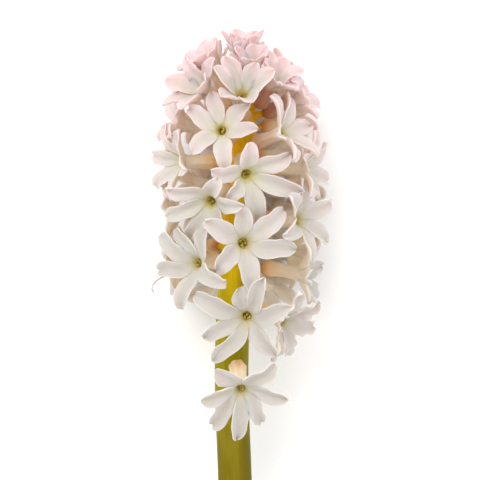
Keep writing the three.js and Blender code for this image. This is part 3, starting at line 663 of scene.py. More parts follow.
def tepal_finish():
    """Waxy white with a blush that deepens up the head, cream tubes and a yellow-green throat. The blush also
    paints light onto the top of the head, and painted shade browns some tubes, greys the lower florets and
    darkens each midrib.
    """
    s = Shader("waxy_tepal")
    along, across, inside, own = map(s.layer, ("along", "across", "inside", "own_tone"))
    lobe_at = s.spread(along, -1, 1)
    off_midrib = s.math("ABSOLUTE", across)
    height = s.spread(s.place_along("Y"), *HEAD_SPAN)
    risen = s.math("POWER", s.spread(height, 0.46, 0.93), 1.3)
    # Painted shade: the tubes that the tan layer names are browned up to near the throat
    painted_tube_shade = s.times(s.layer("tan"), s.spread(along, 0.05, -0.2))
    # Painted shade: the insides of the lower florets are greyed, more so further down the head
    painted_low_shade = s.times(inside, s.spread(height, 0.66, 0.4, 0.0, 0.36))
    # The blush is the upper florets' own pink and partly painted light: its tone is lighter than the ground,
    # so the head brightens towards the top as if the light fell there
    blush_and_top_light = s.times(s.times(risen, 0.85), s.spread(along, 0.1, 0.58, 0.15, 1.0))
    blush_and_top_light = s.times(blush_and_top_light, s.spread(s.layer("cream"), 1, 0, 0.25, 1.0))
    blush_and_top_light = s.math("ADD", blush_and_top_light, s.times(own, 0.08), clamp=True)
    rim = s.math("MAXIMUM", s.spread(off_midrib, 0.6, 1.0), s.spread(along, 0.62, 1.0))
    rim = s.times(s.times(rim, s.spread(along, 0.05, 0.4)), s.times(risen, 0.5))
    # Painted shade: a grey-brown darkening down each lobe's midrib, where its hollow lies
    furrow = s.times(s.spread(off_midrib, 0.75, 0.0, 0.0, 0.3), s.spread(along, 0.1, 0.4))
    veins = s.noise(s.vector(s.times(across, 9.0), s.times(along, 1.3), own), 1.6, 4.0, 0.6)
    cloud = s.noise(s.place(), 190.0, 3.0, 0.55)
    grain = s.noise(s.place(), 2600.0, 2.0, 0.6)
    ground = s.mix(inside, s.ramp(lobe_at, OUTSIDE_TONES), s.ramp(lobe_at, INSIDE_TONES))
    ground = s.tinted(ground, [
        # painted brown shade on the listed tubes
        (painted_tube_shade, (176, 100, 50)),
        # painted grey shade low on the head
        (painted_low_shade, (170, 168, 172)),
        # pink blush, with painted light at the top of the head
        (blush_and_top_light, (248, 214, 220)),
        (rim, (240, 186, 196)),
        # painted shade down the midrib
        (furrow, (190, 182, 170)),
        (s.spread(veins, 0.42, 0.72, 0.0, 0.2), (190, 172, 152)),
        (s.spread(cloud, 0.45, 0.8, 0.0, 0.12), (200, 184, 156)),
    ])
    s.bump(s.math("ADD", veins, s.times(grain, 0.18)), 0.55, 0.0007)
    s.set(Base_Color=ground, Roughness=s.spread(veins, 0.3, 0.7, 0.42, 0.6))
    s.set(Subsurface_Weight=0.6, Subsurface_Radius=(1.0, 0.75, 0.55), Subsurface_Scale=0.0024)
    s.set(Sheen_Weight=0.08, Specular_IOR_Level=0.42)
    return s.material


def scape_finish():
    """A smooth fresh stem, olive below and golden higher up, with painted light where the florets shade it
    and painted shade down one side.
    """
    s = Shader("waxy_scape")
    height = s.spread(s.place_along("Y"), OFFSET[1], OFFSET[1] + SCAPE_LENGTH * MM)
    # Painted shade: the stem darkens towards its +X side, as if lit from the other side
    painted_side_shade = s.spread(s.place_along("X"), OFFSET[0], OFFSET[0] + SCAPE_RADIUS * MM, 0.0, 0.5)
    # Lower down, the stem's streaks and bands and its painted side shade are stronger
    aged_and_shaded = s.spread(height, 0.42, 0.7, 1.0, 0.3)
    streaks = s.noise(s.place((1100, 22, 1100)), 1.0, 4.0, 0.6)
    bands = s.noise(s.place((1, 0.04, 1)), 260.0, 2.0, 0.5)
    patches = s.noise(s.place((1, 0.35, 1)), 120.0, 3.0, 0.5)
    specks = s.noise(s.place((1, 0.5, 1)), 1500.0, 2.0, 0.7)
    ground = s.tinted(s.ramp(height, STEM_TONES_AND_GLOW), [
        (s.times(aged_and_shaded, s.spread(streaks, 0.35, 0.7, 0.0, 0.4)), (102, 94, 20)),
        (s.times(aged_and_shaded, s.spread(bands, 0.35, 0.65, 0.0, 0.5)), (104, 94, 2)),
        # painted shade down the +X side
        (s.times(aged_and_shaded, painted_side_shade), (70, 64, 2)),
        (s.spread(patches, 0.5, 0.8, 0.0, 0.3), (172, 156, 52)),
        (s.spread(specks, 0.62, 0.8, 0.0, 0.3), (74, 66, 14)),
    ])
    s.bump(s.math("ADD", s.times(streaks, 0.8), s.times(specks, 0.3)), 0.4, 0.0006)
    s.set(Base_Color=ground, Roughness=s.spread(specks, 0.3, 0.7, 0.42, 0.6), Specular_IOR_Level=0.08)
    s.set(Subsurface_Weight=0.15, Subsurface_Radius=(0.8, 0.7, 0.2), Subsurface_Scale=0.0015)
    return s.material


def small_part_finish(name, light, dark, scale, rough):
    """Stamens, pistils and the dried tip: a fine grain of two tones."""
    s = Shader(name)
    grain = s.noise(s.place(), scale, 3.0, 0.6)
    roughness = s.spread(grain, 0.3, 0.7, rough, rough + 0.2)
    s.set(Base_Color=s.ramp(grain, [(0.35, *dark), (0.65, *light)]), Roughness=roughness)
    s.bump(grain, 0.5, 0.0002)
    return s.material


TEPALS = tepal_finish()
SCAPE = scape_finish()
ANTHERS = small_part_finish("ripe_anther", (232, 208, 92), (136, 102, 34), 1500.0, 0.6)
FILAMENTS = small_part_finish("pale_filament", (222, 214, 160), (190, 178, 110), 2200.0, 0.4)
DRIED = small_part_finish("dried_tip", (214, 206, 192), (150, 140, 122), 1800.0, 0.5)
PISTILS = small_part_finish("green_pistil", (222, 206, 84), (176, 150, 44), 2400.0, 0.35)


def strip(lower, upper, closed=False, flip=False):
    """The faces between two rows of corners. Flipped, they face the other way."""
    if closed:
        lower, upper = np.append(lower, lower[0]), np.append(upper, upper[0])
    faces = np.stack([lower[:-1], lower[1:], upper[1:], upper[:-1]], axis=1)
    return list(faces[:, [0, 3, 2, 1]] if flip else faces)


def fan(pole, ring, flip=False):
    """The faces between a pole and the closed ring round it."""
    faces = np.stack([np.full(len(ring), pole), ring, np.roll(ring, -1)], axis=1)
    return list(faces[:, ::-1] if flip else faces)


def smooth_profile(at, stations):
    """A curve through stations of a place and a radius each, smooth at all of them."""
    places = np.array([station[0] for station in stations], float)
    radii = np.array([station[1] for station in stations], float)
    slopes = np.gradient(radii, places)
    k = np.clip(np.searchsorted(places, at, side="right") - 1, 0, len(places) - 2)
    width = places[k + 1] - places[k]
    t = (at - places[k]) / width
    return ((2 * t ** 3 - 3 * t ** 2 + 1) * radii[k] + (t ** 3 - 2 * t ** 2 + t) * width * slopes[k]
            + (3 * t ** 2 - 2 * t ** 3) * radii[k + 1] + (t ** 3 - t ** 2) * width * slopes[k + 1])


def tube_ring(f, share, radius, fluting):
    """One ring round the tube, with a shallow furrow below each gap between lobes."""
    forward = tube_tangent(f, share)
    right = turned(f.right, f.facing, forward)
    up = turned(f.up, f.facing, forward)
    count = f.lobes * LOBE_COLUMNS
    turn = np.arange(count) / LOBE_COLUMNS - 0.5
    angle = np.radians(f.roll + 360 / f.lobes * turn)
    radius = radius * f.size * (1 + fluting * np.cos(2 * math.pi * turn))
    return (tube_point(f, share) + radius[:, None] * (
        right * np.cos(angle)[:, None] + up * np.sin(angle)[:, None]))


# Florets whose lobes have wilted, crinkled edges
CRINKLED = {12: 3.6, 11: 2.4}
# Florets whose tube gets a painted brown shade, where it lies in shadow, and how strongly
TUBE_ROOT_SHADE = {7: 0.35, 8: 0.3, 16: 0.85, 17: 0.85}
# Florets at the front that keep a cream ground under the blush of the head, and by how much
CREAMY = {6: 0.85, 7: 0.85, 8: 0.5, 1: 0.6, 13: 0.3, 22: 0.4}

# Radii at shares of the way from the tube's root to the throat's ring, and from there down the throat
OUTER_TUBE = [(0, 0.9), (0.03, 1.6), (0.2, 3.35), (0.42, 3.1), (0.62, 2.75), (0.85, 2.8), (1, 3.3)]
INNER_TUBE = [(0, 2.5), (0.1, 1.9), (0.25, 1.5), (0.6, 1.35), (1, 1.15)]
OUTER_FLUTING = Record(depth=0.05, grows=(0, 0.3))
INNER_FLUTING = 0.04
# The pole that closes the tube's root, in millimetres, and the throat's, as a share of its depth
ROOT_POLE = 0.1
THROAT_POLE = 1.04

# The fine form of a lobe, in millimetres on a floret of size 1. Each pair says between which shares of
# the lobe, from its root at 0 to its tip at 1, a form grows in or fades out.
SHEET_END = 0.975
TIP_CROWDING = 0.9
EDGE_CROWDING = 0.55
LAP = Record(least=1.2, young=0.45)
ON_RING = (0, 0.22)
JOINED = (0, 0.2)
OPENED = (45, 95)
BLUNTED = Record(by=0.18, grows=(0.6, 0.95))
FRILL = Record(height=0.28, vary=0.6, waves=15, vary_waves=4, offset=1.3, grows=(0.15, 0.5))
RIBBED = Record(vary=0.6, furrow=0.4, furrow_width=0.2, rib=0.13, ribs=10.5, grows=(0.04, 0.35))
HOODED = Record(height=0.9, vary=0.6, grows=(0.55, 1))
FLICKED = Record(depth=5.5, start=0.55)
GUTTERED = Record(height=0.7, level=0.3, grows=(0.05, 0.3), fades=(0.6, 1))
LAPPED = Record(height=0.4, grows=(0.02, 0.2), fades=(0.35, 0.8))
TURNED = Record(height=1.1, grows=(0.25, 1))
NOTCHED = Record(depth=0.2, waves=21, grows=(0.2, 0.5), fades=(0.75, 1))
SWAYED = 0.9
BODY = Record(thickness=1.05, edge_loss=0.88, tip_loss=0.4)


def over(share, grows, fades=None):
    """How far a form has grown in at each share of a lobe, and not faded out again."""
    grown_in = smoothstep(share, *grows)
    return grown_in * (1 - smoothstep(share, *fades)) if fades else grown_in


def lobe_sheet(f, lobe):
    """A lobe's middle sheet, its inward normals and its thickness, row 0 lying on the throat's ring.

    Then come its tip, and where along and across the lobe the rows and the columns lie.
    """
    def vary(kind):
        return draw(f.index, lobe, kind)

    shares = SHEET_END * (np.arange(LOBE_ROWS + 1) / LOBE_ROWS) ** TIP_CROWDING
    turns = 2 * np.arange(LOBE_COLUMNS + 1) / LOBE_COLUMNS - 1
    sides = (1 - EDGE_CROWDING) * turns + EDGE_CROWDING * np.sin(math.pi / 2 * turns)
    share, side = shares[:, None, None], sides[None, :, None]
    bent = lobe_points(f, lobe, shares, sides, LAP.least + LAP.young * youth(f))
    ring_turn = np.radians(f.roll + 360 / f.lobes * (lobe + turns / 2))
    radial = f.right * np.cos(ring_turn)[:, None] + f.up * np.sin(ring_turn)[:, None]
    ring = f.throat + radial * (THROAT_RADIUS - THROAT_WALL / 2) * f.size
    sheet = bent + (ring - bent[0]) * (1 - smoothstep(share, *ON_RING))
    midrib = sheet[:, LOBE_COLUMNS // 2, None]
    sheet = sheet + (sheet - midrib) * BLUNTED.by * (1 - youth(f)) * over(share, BLUNTED.grows)
    across = np.gradient(sheet, axis=1)
    normal = unit(np.cross(np.gradient(sheet, axis=0), across))
    edge = np.abs(side) ** 3
    opened = smoothstep(f.open, *OPENED)
    crinkle = CRINKLED.get(f.index, 1)
    phase = math.pi * vary("phase")
    ripple = share * (FRILL.waves + FRILL.vary_waves * vary("waves")) + phase
    frill = FRILL.height * crinkle * (1 + FRILL.vary * vary("frill")) * over(share, FRILL.grows)
    frilled = frill * edge * np.sin(ripple + FRILL.offset * np.sign(side))
    ribbed = (1 + RIBBED.vary * vary("ribs")) * over(share, RIBBED.grows)
    furrow = -RIBBED.furrow * ribbed * np.exp(-((side / RIBBED.furrow_width) ** 2))
    ribs = RIBBED.rib * ribbed * np.cos(side * RIBBED.ribs) * (1 - edge)
    hooded = opened * (HOODED.height + HOODED.vary * vary("hood")) * side ** 2 * over(share, HOODED.grows)
    flicked = -FLICKED.depth * (1 + vary("flick")) * np.maximum(0, share - FLICKED.start) ** 2 * opened
    guttered = GUTTERED.height * (side ** 2 - GUTTERED.level) * over(share, GUTTERED.grows, GUTTERED.fades)
    lapped = LAPPED.height * (1 if lobe % 2 else -1) * edge * over(share, LAPPED.grows, LAPPED.fades)
    turned_over = TURNED.height * vary("turn") * side * over(share, TURNED.grows) * opened
    relief = furrow + ribs + guttered + hooded + flicked + lapped + turned_over + frilled
    sheet = sheet + normal * f.size * relief
    notched = NOTCHED.depth * (crinkle - 1) * over(share, NOTCHED.grows, NOTCHED.fades)
    notches = notched * side ** 3 * np.sin(share * NOTCHED.waves + 2 * phase)
    swayed = SWAYED * vary("sway") * share ** 2 * opened
    sheet = sheet + unit(across) * f.size * (notches + swayed)
    normal = unit(np.cross(np.gradient(sheet, axis=0), np.gradient(sheet, axis=1)))
    joined = 1 - smoothstep(share, *JOINED)
    normal = unit(normal * (1 - joined) - radial * joined)
    body = BODY.thickness * np.sqrt(1 - BODY.edge_loss * side ** 4) * (1 - BODY.tip_loss * share)
    thickness = f.size * (body + (THROAT_WALL - body) * joined)
    tip = lobe_points(f, lobe, [1], [0])[0, 0] + (sheet - bent)[-1, LOBE_COLUMNS // 2]
    return sheet, normal, thickness, tip, shares, sides


def bloom(f):
    """One floret's tube, throat and lobes as a closed shell, with where each corner lies in it."""
    blocks, faces = [], []
    layers = {"along": [], "across": [], "inside": []}

    def add(rows, along, across, inside):
        """The numbers of new corners, which get their place along, across and inside the floret."""
        rows = np.asarray(rows).reshape(-1, 3)
        start = sum(map(len, blocks))
        blocks.append(rows)
        for key, value in zip(layers, (along, across, inside)):
            layers[key].append(np.broadcast_to(value, len(rows)).astype(float))
        return start + np.arange(len(rows))

    count = f.lobes * LOBE_COLUMNS
    ring_side = np.abs(((np.arange(count) / LOBE_COLUMNS) % 1) * 2 - 1) * 2 - 1
    outer_rings = []
    for share in np.arange(TUBE_RINGS) / TUBE_RINGS:
        fluting = OUTER_FLUTING.depth * smoothstep(share, *OUTER_FLUTING.grows)
        ring = tube_ring(f, share, smooth_profile(share, OUTER_TUBE), fluting)
        outer_rings.append(add(ring, share - 1, ring_side, 0))
    outer_rings.append(add(tube_ring(f, 1, THROAT_RADIUS, 0), 0, ring_side, 0))
    faces += fan(add(f.seat + f.outward * ROOT_POLE, -1, 0, 0)[0], outer_rings[0], flip=True)
    depth = THROAT_DEPTH * f.size / tube_length(f)
    inner_rings = []
    for down in np.arange(THROAT_RINGS + 1) / THROAT_RINGS:
        ring = tube_ring(f, 1 - depth * down, smooth_profile(down, INNER_TUBE), INNER_FLUTING * down)
        inner_rings.append(add(ring, -depth * down, ring_side, 1))
    faces += fan(add(tube_point(f, 1 - depth * THROAT_POLE), -depth, 0, 1)[0], inner_rings[-1])
    for rings in (outer_rings, inner_rings):
        for lower, upper in zip(rings, rings[1:]):
            faces += strip(lower, upper, closed=True)

    for lobe in range(f.lobes):
        sheet, normal, thickness, tip, along, sides = lobe_sheet(f, lobe)
        half = normal * thickness / 2
        on_ring = (lobe * LOBE_COLUMNS + np.arange(LOBE_COLUMNS + 1)) % count
        place_along, place_across = np.repeat(along[1:], LOBE_COLUMNS + 1), np.tile(sides, LOBE_ROWS)
        outer = add((sheet - half)[1:], place_along, place_across, 0).reshape(LOBE_ROWS, -1)
        inner = add((sheet + half)[1:], place_along, place_across, 1).reshape(LOBE_ROWS, -1)
        outer = np.vstack([outer_rings[-1][on_ring], outer])
        inner = np.vstack([inner_rings[0][on_ring], inner])
        for i in range(LOBE_ROWS):
            faces += strip(outer[i], outer[i + 1])
            faces += strip(inner[i], inner[i + 1], flip=True)
        faces += strip(outer[:, 0], inner[:, 0])
        faces += strip(outer[:, -1], inner[:, -1], flip=True)
        faces += fan(add(tip, 1, 0, 0.5)[0], np.concatenate([outer[-1], inner[-1][::-1]]))

    corners = np.concatenate(blocks)
    corners[:, 2] = np.maximum(corners[:, 2], SURFACE)
    layers = {key: np.concatenate(value) for key, value in layers.items()}
    # The tan layer holds how strongly the floret's tube gets its painted brown shade
    tan, cream = TUBE_ROOT_SHADE.get(f.index, 0), CREAMY.get(f.index, 0)
    for key, value in (("own_tone", draw(f.index, 0, "tone")), ("tan", tan), ("cream", cream)):
        layers[key] = np.full(len(corners), float(value))
    return corners, faces, layers


for floret in florets:
    node = f"floret_{floret.index + 1:02d}"
    corners, faces, layers = bloom(floret)
    piece = mesh_object(f"bloom_{floret.index + 1:02d}", corners, faces, TEPALS, layers)
    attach(piece, "root")
    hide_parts(node)


# The bare stem. Its growing point is rings of a height above its length and a share of its width, and
# each furrow is a depth, a count round the stem, a drift by height and a phase.
STEM_SIDES = 72
STEM_RINGS = 190
CUT_BEVEL = 0.97
GROWING_POINT = [(1.2, 0.86), (2.2, 0.5)]
STEM_POLES = (0.25, SCAPE_LENGTH + 2.8)
STEM_FURROWS = [(0.010, 9, 0.012, 0), (0.006, 17, 0, 1.7)]
SWELLING = Record(height=0.5, spread=6.5)


def stem():
    """The bare stem: lengthwise furrows, a swelling under each pedicel and a rounded growing point."""
    above, narrowed = np.transpose(GROWING_POINT)
    heights = np.concatenate([np.linspace(0, SCAPE_LENGTH, STEM_RINGS), SCAPE_LENGTH + above])
    shrink = np.concatenate([np.ones(STEM_RINGS), narrowed])
    turn = 2 * math.pi * np.arange(STEM_SIDES) / STEM_SIDES
    furrows = sum(depth * np.sin(count * turn[None] + drift * heights[:, None] + phase)
                  for depth, count, drift, phase in STEM_FURROWS)
    radius = scape_radius(heights)[:, None] * shrink[:, None] * (1 + furrows)
    radius[0] *= CUT_BEVEL
    round_stem = np.stack([np.sin(turn), np.zeros(STEM_SIDES), np.cos(turn)], axis=-1)
    points = scape_centre(heights)[:, None] + radius[..., None] * round_stem[None]
    for f in florets:
        level = unit(f.outward - np.array([0, f.outward[1], 0]))
        root = f.pedicel_root + level * scape_radius(f.pedicel_root[1])
        near = np.exp(-((points - root) ** 2).sum(axis=-1) / SWELLING.spread)
        points = points + near[..., None] * level * SWELLING.height
    rows = np.arange(len(heights) * STEM_SIDES).reshape(len(heights), STEM_SIDES)
    faces = fan(rows.size, rows[0], flip=True) + fan(rows.size + 1, rows[-1])
    for lower, upper in zip(rows, rows[1:]):
        faces += strip(lower, upper, closed=True)
    return np.concatenate([points.reshape(-1, 3), scape_centre(STEM_POLES)]), faces


piece = mesh_object("stem", *stem(), SCAPE)
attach(piece, "root")
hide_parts("scape")


class Tree(Nodes):
    """A geometry node tree, with named inputs and short calls for what it grows."""

    def __init__(self, name, inputs):
        self.tree = bpy.data.node_groups.new(name, "GeometryNodeTree")
        self.tree.interface.new_socket("Geometry", in_out="OUTPUT", socket_type="NodeSocketGeometry")
        self.identifiers = {}
        for label, kind in {"Geometry": "Geometry", **inputs}.items():
            socket = self.tree.interface.new_socket(label, in_out="INPUT", socket_type="NodeSocket" + kind)
            self.identifiers[label] = socket.identifier
        self.input = self.tree.nodes.new("NodeGroupInput")
        self.output = self.tree.nodes.new("NodeGroupOutput")

    def __getitem__(self, label):
        return self.input.outputs[label]

    def layer(self, name, kind="FLOAT"):
        return self.made("GeometryNodeInputNamedAttribute", {"Name": name}, data_type=kind)

    def line(self, length):
        return self.made("GeometryNodeCurvePrimitiveLine", {"End": self.vector(z=length)})

    def ring(self, sides, radius=1.0):
        return self.made("GeometryNodeCurvePrimitiveCircle", {"Resolution": sides, "Radius": radius})

    def shifted(self, geometry, translation, scale):
        inputs = {"Geometry": geometry, "Translation": translation, "Scale": scale}
        return self.made("GeometryNodeTransform", inputs)

    def joined(self, *parts):
        made = self.node("GeometryNodeJoinGeometry")
        for part in parts:
            self.tree.links.new(part, made.inputs[0])
        return made.outputs[0]

    def painted(self, geometry, material):
        return self.made("GeometryNodeSetMaterial", {"Geometry": geometry, "Material": material})

    def swept(self, line, ring, radius=None):
        """A capped skin round a line, as thick as its radius says."""
        if radius is not None:
            line = self.made("GeometryNodeSetCurveRadius", {"Curve": line, "Radius": radius})
        inputs = {"Curve": line, "Profile Curve": ring, "Fill Caps": True}
        sweep = self.node("GeometryNodeCurveToMesh", inputs)
        if radius is not None:
            self.put(sweep.inputs["Scale"], self.made("GeometryNodeInputRadius"))
        return sweep.outputs[0]

    def planted(self, part, rotation):
        """The part at every point, turned as given and as large as the point's size says."""
        inputs = {"Points": self["Geometry"], "Instance": part, "Rotation": rotation}
        return self.made("GeometryNodeInstanceOnPoints", {**inputs, "Scale": self.layer("size")})

    def finish(self, geometry, material=None):
        """Ends the tree in a real and smooth mesh. A part of two finishes has them already."""
        real = self.made("GeometryNodeRealizeInstances", {"Geometry": geometry})
        if material:
            real = self.painted(real, material)
        self.put(self.output.inputs[0], self.made("GeometryNodeSetShadeSmooth", {"Geometry": real}))


def grown(name, tree, points, layers, values, edges=()):
    """The mesh that a tree makes from points of the flower's frame, as a plain piece."""
    seed = bpy.data.meshes.new(name + "_points")
    seed.from_pydata(placed(points).tolist(), edges, [])
    add_layers(seed, layers)
    carrier = in_scene(name + "_carrier", seed)
    modifier = carrier.modifiers.new("grow", "NODES")
    modifier.node_group = tree.tree
    for label, value in values.items():
        modifier[tree.identifiers[label]] = value
    carrier.update_tag()
    graph = bpy.context.evaluated_depsgraph_get()
    mesh = bpy.data.meshes.new_from_object(carrier.evaluated_get(graph))
    mesh.name = name
    carrier.modifiers.remove(modifier)
    bpy.data.objects.remove(carrier)
    bpy.data.meshes.remove(seed)
    piece = in_scene(name, mesh)
    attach(piece, "root")
    return piece


# Each of an anther's two cells is this share of its width, and this share of it aside. A stamen may
# lean this far more or less by chance, in radians.
CELL_WIDTH, CELL_ASIDE = 0.62, 0.24
CHANCE_LEAN = 0.22


def stamen_tree():
    """One stamen at each point: a short filament that leaves the tube's wall and a two-celled anther."""
    t = Tree("stamen_growth", {
        "Filament length": "Float", "Filament radius": "Float", "Anther length": "Float",
        "Anther width": "Float", "Lean": "Float", "Seed": "Int",
        "Filament finish": "Material", "Anther finish": "Material"})
    length, width = t["Filament length"], t["Anther width"]
    filament = t.painted(t.swept(t.line(length), t.ring(8, t["Filament radius"])), t["Filament finish"])
    ball = t.made("GeometryNodeMeshUVSphere", {"Segments": 12, "Rings": 8, "Radius": 0.5})
    cell = t.vector(t.times(width, CELL_WIDTH), width, t["Anther length"])
    left, right = (t.shifted(ball, t.vector(t.times(width, aside), 0.0, length), cell)
                   for aside in (-CELL_ASIDE, CELL_ASIDE))
    stamen = t.joined(filament, t.painted(t.joined(left, right), t["Anther finish"]))
    facing, inward = t.layer("facing", "FLOAT_VECTOR"), t.layer("inward", "FLOAT_VECTOR")
    upright = t.made("FunctionNodeAxesToRotation", {"Primary Axis": facing, "Secondary Axis": inward},
                     primary_axis="Z", secondary_axis="Y")
    limits = {"Min": -CHANCE_LEAN, "Max": CHANCE_LEAN, "Seed": t["Seed"]}
    chance = t.node("FunctionNodeRandomValue", limits, data_type="FLOAT").outputs[1]
    lean = t.times(t.math("ADD", t["Lean"], chance), -1.0)
    turn = t.made("FunctionNodeEulerToRotation", {0: t.vector(lean, chance, 0.0)})
    rotation = t.made("FunctionNodeRotateRotation", {"Rotation": upright, "Rotate By": turn},
                      rotation_space="LOCAL")
    t.finish(t.planted(stamen, rotation))
    return t


# A pistil's radius at shares of its height, as shares of the ovary's, and the bulge of its carpels
PISTIL_FORM = [(0.0, 0.72), (0.22, 1.0), (0.45, 0.74), (0.58, 0.28), (0.86, 0.24), (0.93, 0.36), (1.0, 0.16)]
CARPELS, CARPEL_BULGE = 3, 0.12


def pistil_tree():
    """A swollen ovary, a short style and a blunt stigma at each point."""
    t = Tree("pistil_growth", {"Height": "Float", "Ovary radius": "Float", "Finish": "Material"})
    line = t.made("GeometryNodeResampleCurve", {"Curve": t.line(t["Height"]), "Count": 16})
    along = t.node("GeometryNodeSplineParameter").outputs["Factor"]
    swell = t.node("ShaderNodeFloatCurve", {"Value": along})
    curve = swell.mapping.curves[0]
    for _ in PISTIL_FORM[2:]:
        curve.points.new(0.5, 0.5)
    for point, place_and_radius in zip(curve.points, PISTIL_FORM):
        point.location = place_and_radius
    swell.mapping.update()
    where = t.made("GeometryNodeInputPosition")
    parts = t.node("ShaderNodeSeparateXYZ", {0: where}).outputs
    angle = t.math("ARCTAN2", parts[1], parts[0])
    bulge = t.math("ADD", 1.0, t.times(t.math("COSINE", t.times(angle, CARPELS)), CARPEL_BULGE))
    lobed = t.made("ShaderNodeVectorMath", {0: where, "Scale": bulge}, operation="SCALE")
    ring = t.made("GeometryNodeSetPosition", {"Geometry": t.ring(18), "Position": lobed})
    pistil = t.swept(line, ring, t.times(swell.outputs[0], t["Ovary radius"]))
    facing = t.layer("facing", "FLOAT_VECTOR")
    upright = t.made("FunctionNodeAlignRotationToVector", {"Vector": facing}, axis="Z")
    t.finish(t.planted(pistil, upright), t["Finish"])
    return t


def pedicel_tree():
    """A fleshy stalk along each path of points, as thick as its points say."""
    t = Tree("pedicel_growth", {"Sides": "Int", "Finish": "Material"})
    line = t.made("GeometryNodeMeshToCurve", {"Mesh": t["Geometry"]})
    t.finish(t.swept(line, t.ring(t["Sides"]), t.layer("thickness")), t["Finish"])
    return t


# The small parts of a floret of size 1. Stamens and pistils start this deep in its throat.
STAMENS = Record(count=6, from_axis=1.2, depth=2.9, vary_depth=0.5, vary_angle=9)
STAMEN_SIZES = {
    "Filament length": 1.5 * MM, "Filament radius": 0.25 * MM, "Anther length": 2.2 * MM,
    "Anther width": 0.82 * MM, "Lean": 0.06, "Seed": 7}
PISTIL_DEPTH = 6.1
PISTIL_SIZES = {"Height": 4.4 * MM, "Ovary radius": 1.35 * MM}
# A pedicel starts at a share of the scape's radius and ends a little way inside the tube. It is slim,
# with a flare at its foot and another at its head.
PEDICELS = Record(
    points=9, sides=14, start=0.8, past_seat=0.4, slim=0.88, foot=0.55, head=0.16, head_over=(0.6, 1))
# The thin dried tip that curls back beside the head
CURLED_PATH = [
    (-26, 101.15, 28), (-26.5, 101.6, 30), (-27.8, 101.7, 31.8), (-29.8, 101, 33), (-31.6, 99.8, 33.4),
    (-33, 98.2, 33.5), (-33.4, 96.4, 33.4), (-32.6, 95, 33)]
CURLED_TIP = Record(sides=10, radius=0.4, loss=0.5)


def path_edges(count, first=0):
    """The edges that join points in a row."""
    return [(n, n + 1) for n in range(first, first + count - 1)]


def stamens():
    points, facing, inward, size = [], [], [], []
    for f in florets:
        for n in range(STAMENS.count):
            turn = 360 / STAMENS.count * n + STAMENS.vary_angle * draw(f.index, n, "stamen")
            angle = math.radians(f.roll + turn)
            out = f.right * math.cos(angle) + f.up * math.sin(angle)
            depth = STAMENS.depth + STAMENS.vary_depth * draw(f.index, n, "depth")
            points.append(f.throat + f.size * (out * STAMENS.from_axis - f.facing * depth))
            facing.append(f.facing)
            inward.append(-out)
            size.append(f.size)
    layers = {"facing": facing, "inward": inward, "size": size}
    values = {**STAMEN_SIZES, "Filament finish": FILAMENTS, "Anther finish": ANTHERS}
    return grown("stamens", stamen_tree(), points, layers, values)


def pistils():
    points = [f.throat - f.facing * PISTIL_DEPTH * f.size for f in florets]
    layers = {"facing": [f.facing for f in florets], "size": [f.size for f in florets]}
    return grown("pistils", pistil_tree(), points, layers, {**PISTIL_SIZES, "Finish": PISTILS})


def pedicels():
    points, thickness, edges = [], [], []
    shares = np.linspace(0, 1, PEDICELS.points)
    flare = PEDICELS.foot * (1 - shares) ** 3 + PEDICELS.head * smoothstep(shares, *PEDICELS.head_over)
    for f in florets:
        start = PEDICELS.start * scape_radius(f.pedicel_root[1])
        end = f.pedicel_end + SEAT_GAP + PEDICELS.past_seat
        edges += path_edges(len(shares), first=len(points))
        points += list(f.pedicel_root + f.outward * (start + (end - start) * shares)[:, None])
        thickness += list(PEDICEL_RADIUS * f.size * (PEDICELS.slim + flare) * MM)
    values = {"Sides": PEDICELS.sides, "Finish": SCAPE}
    return grown("pedicels", pedicel_tree(), points, {"thickness": thickness}, values, edges)


def curled_tip():
    count = len(CURLED_PATH)
    thickness = CURLED_TIP.radius * MM * (1 - CURLED_TIP.loss * np.arange(count) / count)
    values = {"Sides": CURLED_TIP.sides, "Finish": DRIED}
    layers = {"thickness": thickness}
    return grown("curled_tip", pedicel_tree(), CURLED_PATH, layers, values, path_edges(count))


curled_tip()
stamens()
pistils()
pedicels()


# The studio, in metres: a wide pale floor, even light from all round and two soft lamps
FLOOR_HALF = 1.6
WORLD_STRENGTH = 1.08


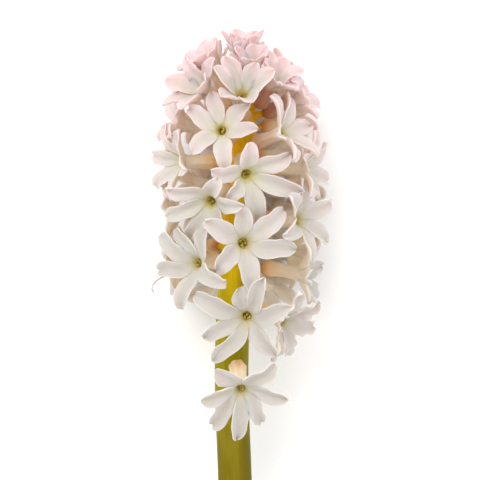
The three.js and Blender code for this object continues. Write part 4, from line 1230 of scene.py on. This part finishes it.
def floor_finish():
    s = Shader("pale_paper")
    fibre = s.noise(s.place(), 900.0, 4.0, 0.6)
    paper = s.mix(s.spread(fibre, 0.3, 0.7), srgb(250, 250, 250), srgb(253, 253, 253))
    s.set(Base_Color=paper, Roughness=0.9)
    s.bump(fibre, 0.05, 0.0002)
    return s.material


def floor():
    half = FLOOR_HALF
    mesh = bpy.data.meshes.new("floor")
    corners = [(-half, -half, 0), (half, -half, 0), (half, half, 0), (-half, half, 0)]
    mesh.from_pydata(corners, [], [(0, 1, 2, 3)])
    mesh.materials.append(floor_finish())
    plane = in_scene("floor", mesh)


def lamp(name, at, size, power, colour):
    """A round soft lamp that shines at the frame's origin."""
    light = bpy.data.lights.new(name, "AREA")
    light.shape = "DISK"
    light.size = size
    light.energy = power
    light.color = colour
    stand = in_scene(name, light)
    stand.location = at
    stand.rotation_euler = (-Vector(at)).to_track_quat("-Z", "Y").to_euler()


def studio():
    floor()
    world = bpy.data.worlds.new("studio")
    world.use_nodes = True
    sky = world.node_tree.nodes["Background"]
    sky.inputs["Color"].default_value = (1, 1, 1, 1)
    sky.inputs["Strength"].default_value = WORLD_STRENGTH
    bpy.context.scene.world = world
    bpy.context.scene.view_settings.view_transform = "Standard"
    lamp("key", at=(-0.4, 0.65, 1.15), size=0.9, power=7.5, colour=(1.0, 0.99, 0.98))
    lamp("fill", at=(0.9, 0.2, 0.9), size=1.0, power=1.5, colour=(1.0, 1.0, 1.0))


# The camera looks straight down on the flower that lies on its back, as the photo looks at its front.
# What it sees is in millimetres of the flower's frame, and how near and far it sees in metres.
VIEW_WIDTH = 192
VIEW_MIDDLE = (1.6, 116, AXIS_HEIGHT)
VIEW_DISTANCE = 1000
SENSOR_WIDTH = 36
NEAREST, FARTHEST = 0.05, 20


def camera():
    lens = bpy.data.cameras.new("camera")
    lens.sensor_width = SENSOR_WIDTH
    lens.lens = SENSOR_WIDTH * VIEW_DISTANCE / VIEW_WIDTH
    lens.clip_start = NEAREST
    lens.clip_end = FARTHEST
    eye = in_scene("camera", lens)
    eye.location = placed(VIEW_MIDDLE) + np.array([0, 0, VIEW_DISTANCE * MM])
    bpy.context.scene.camera = eye


studio()
camera()
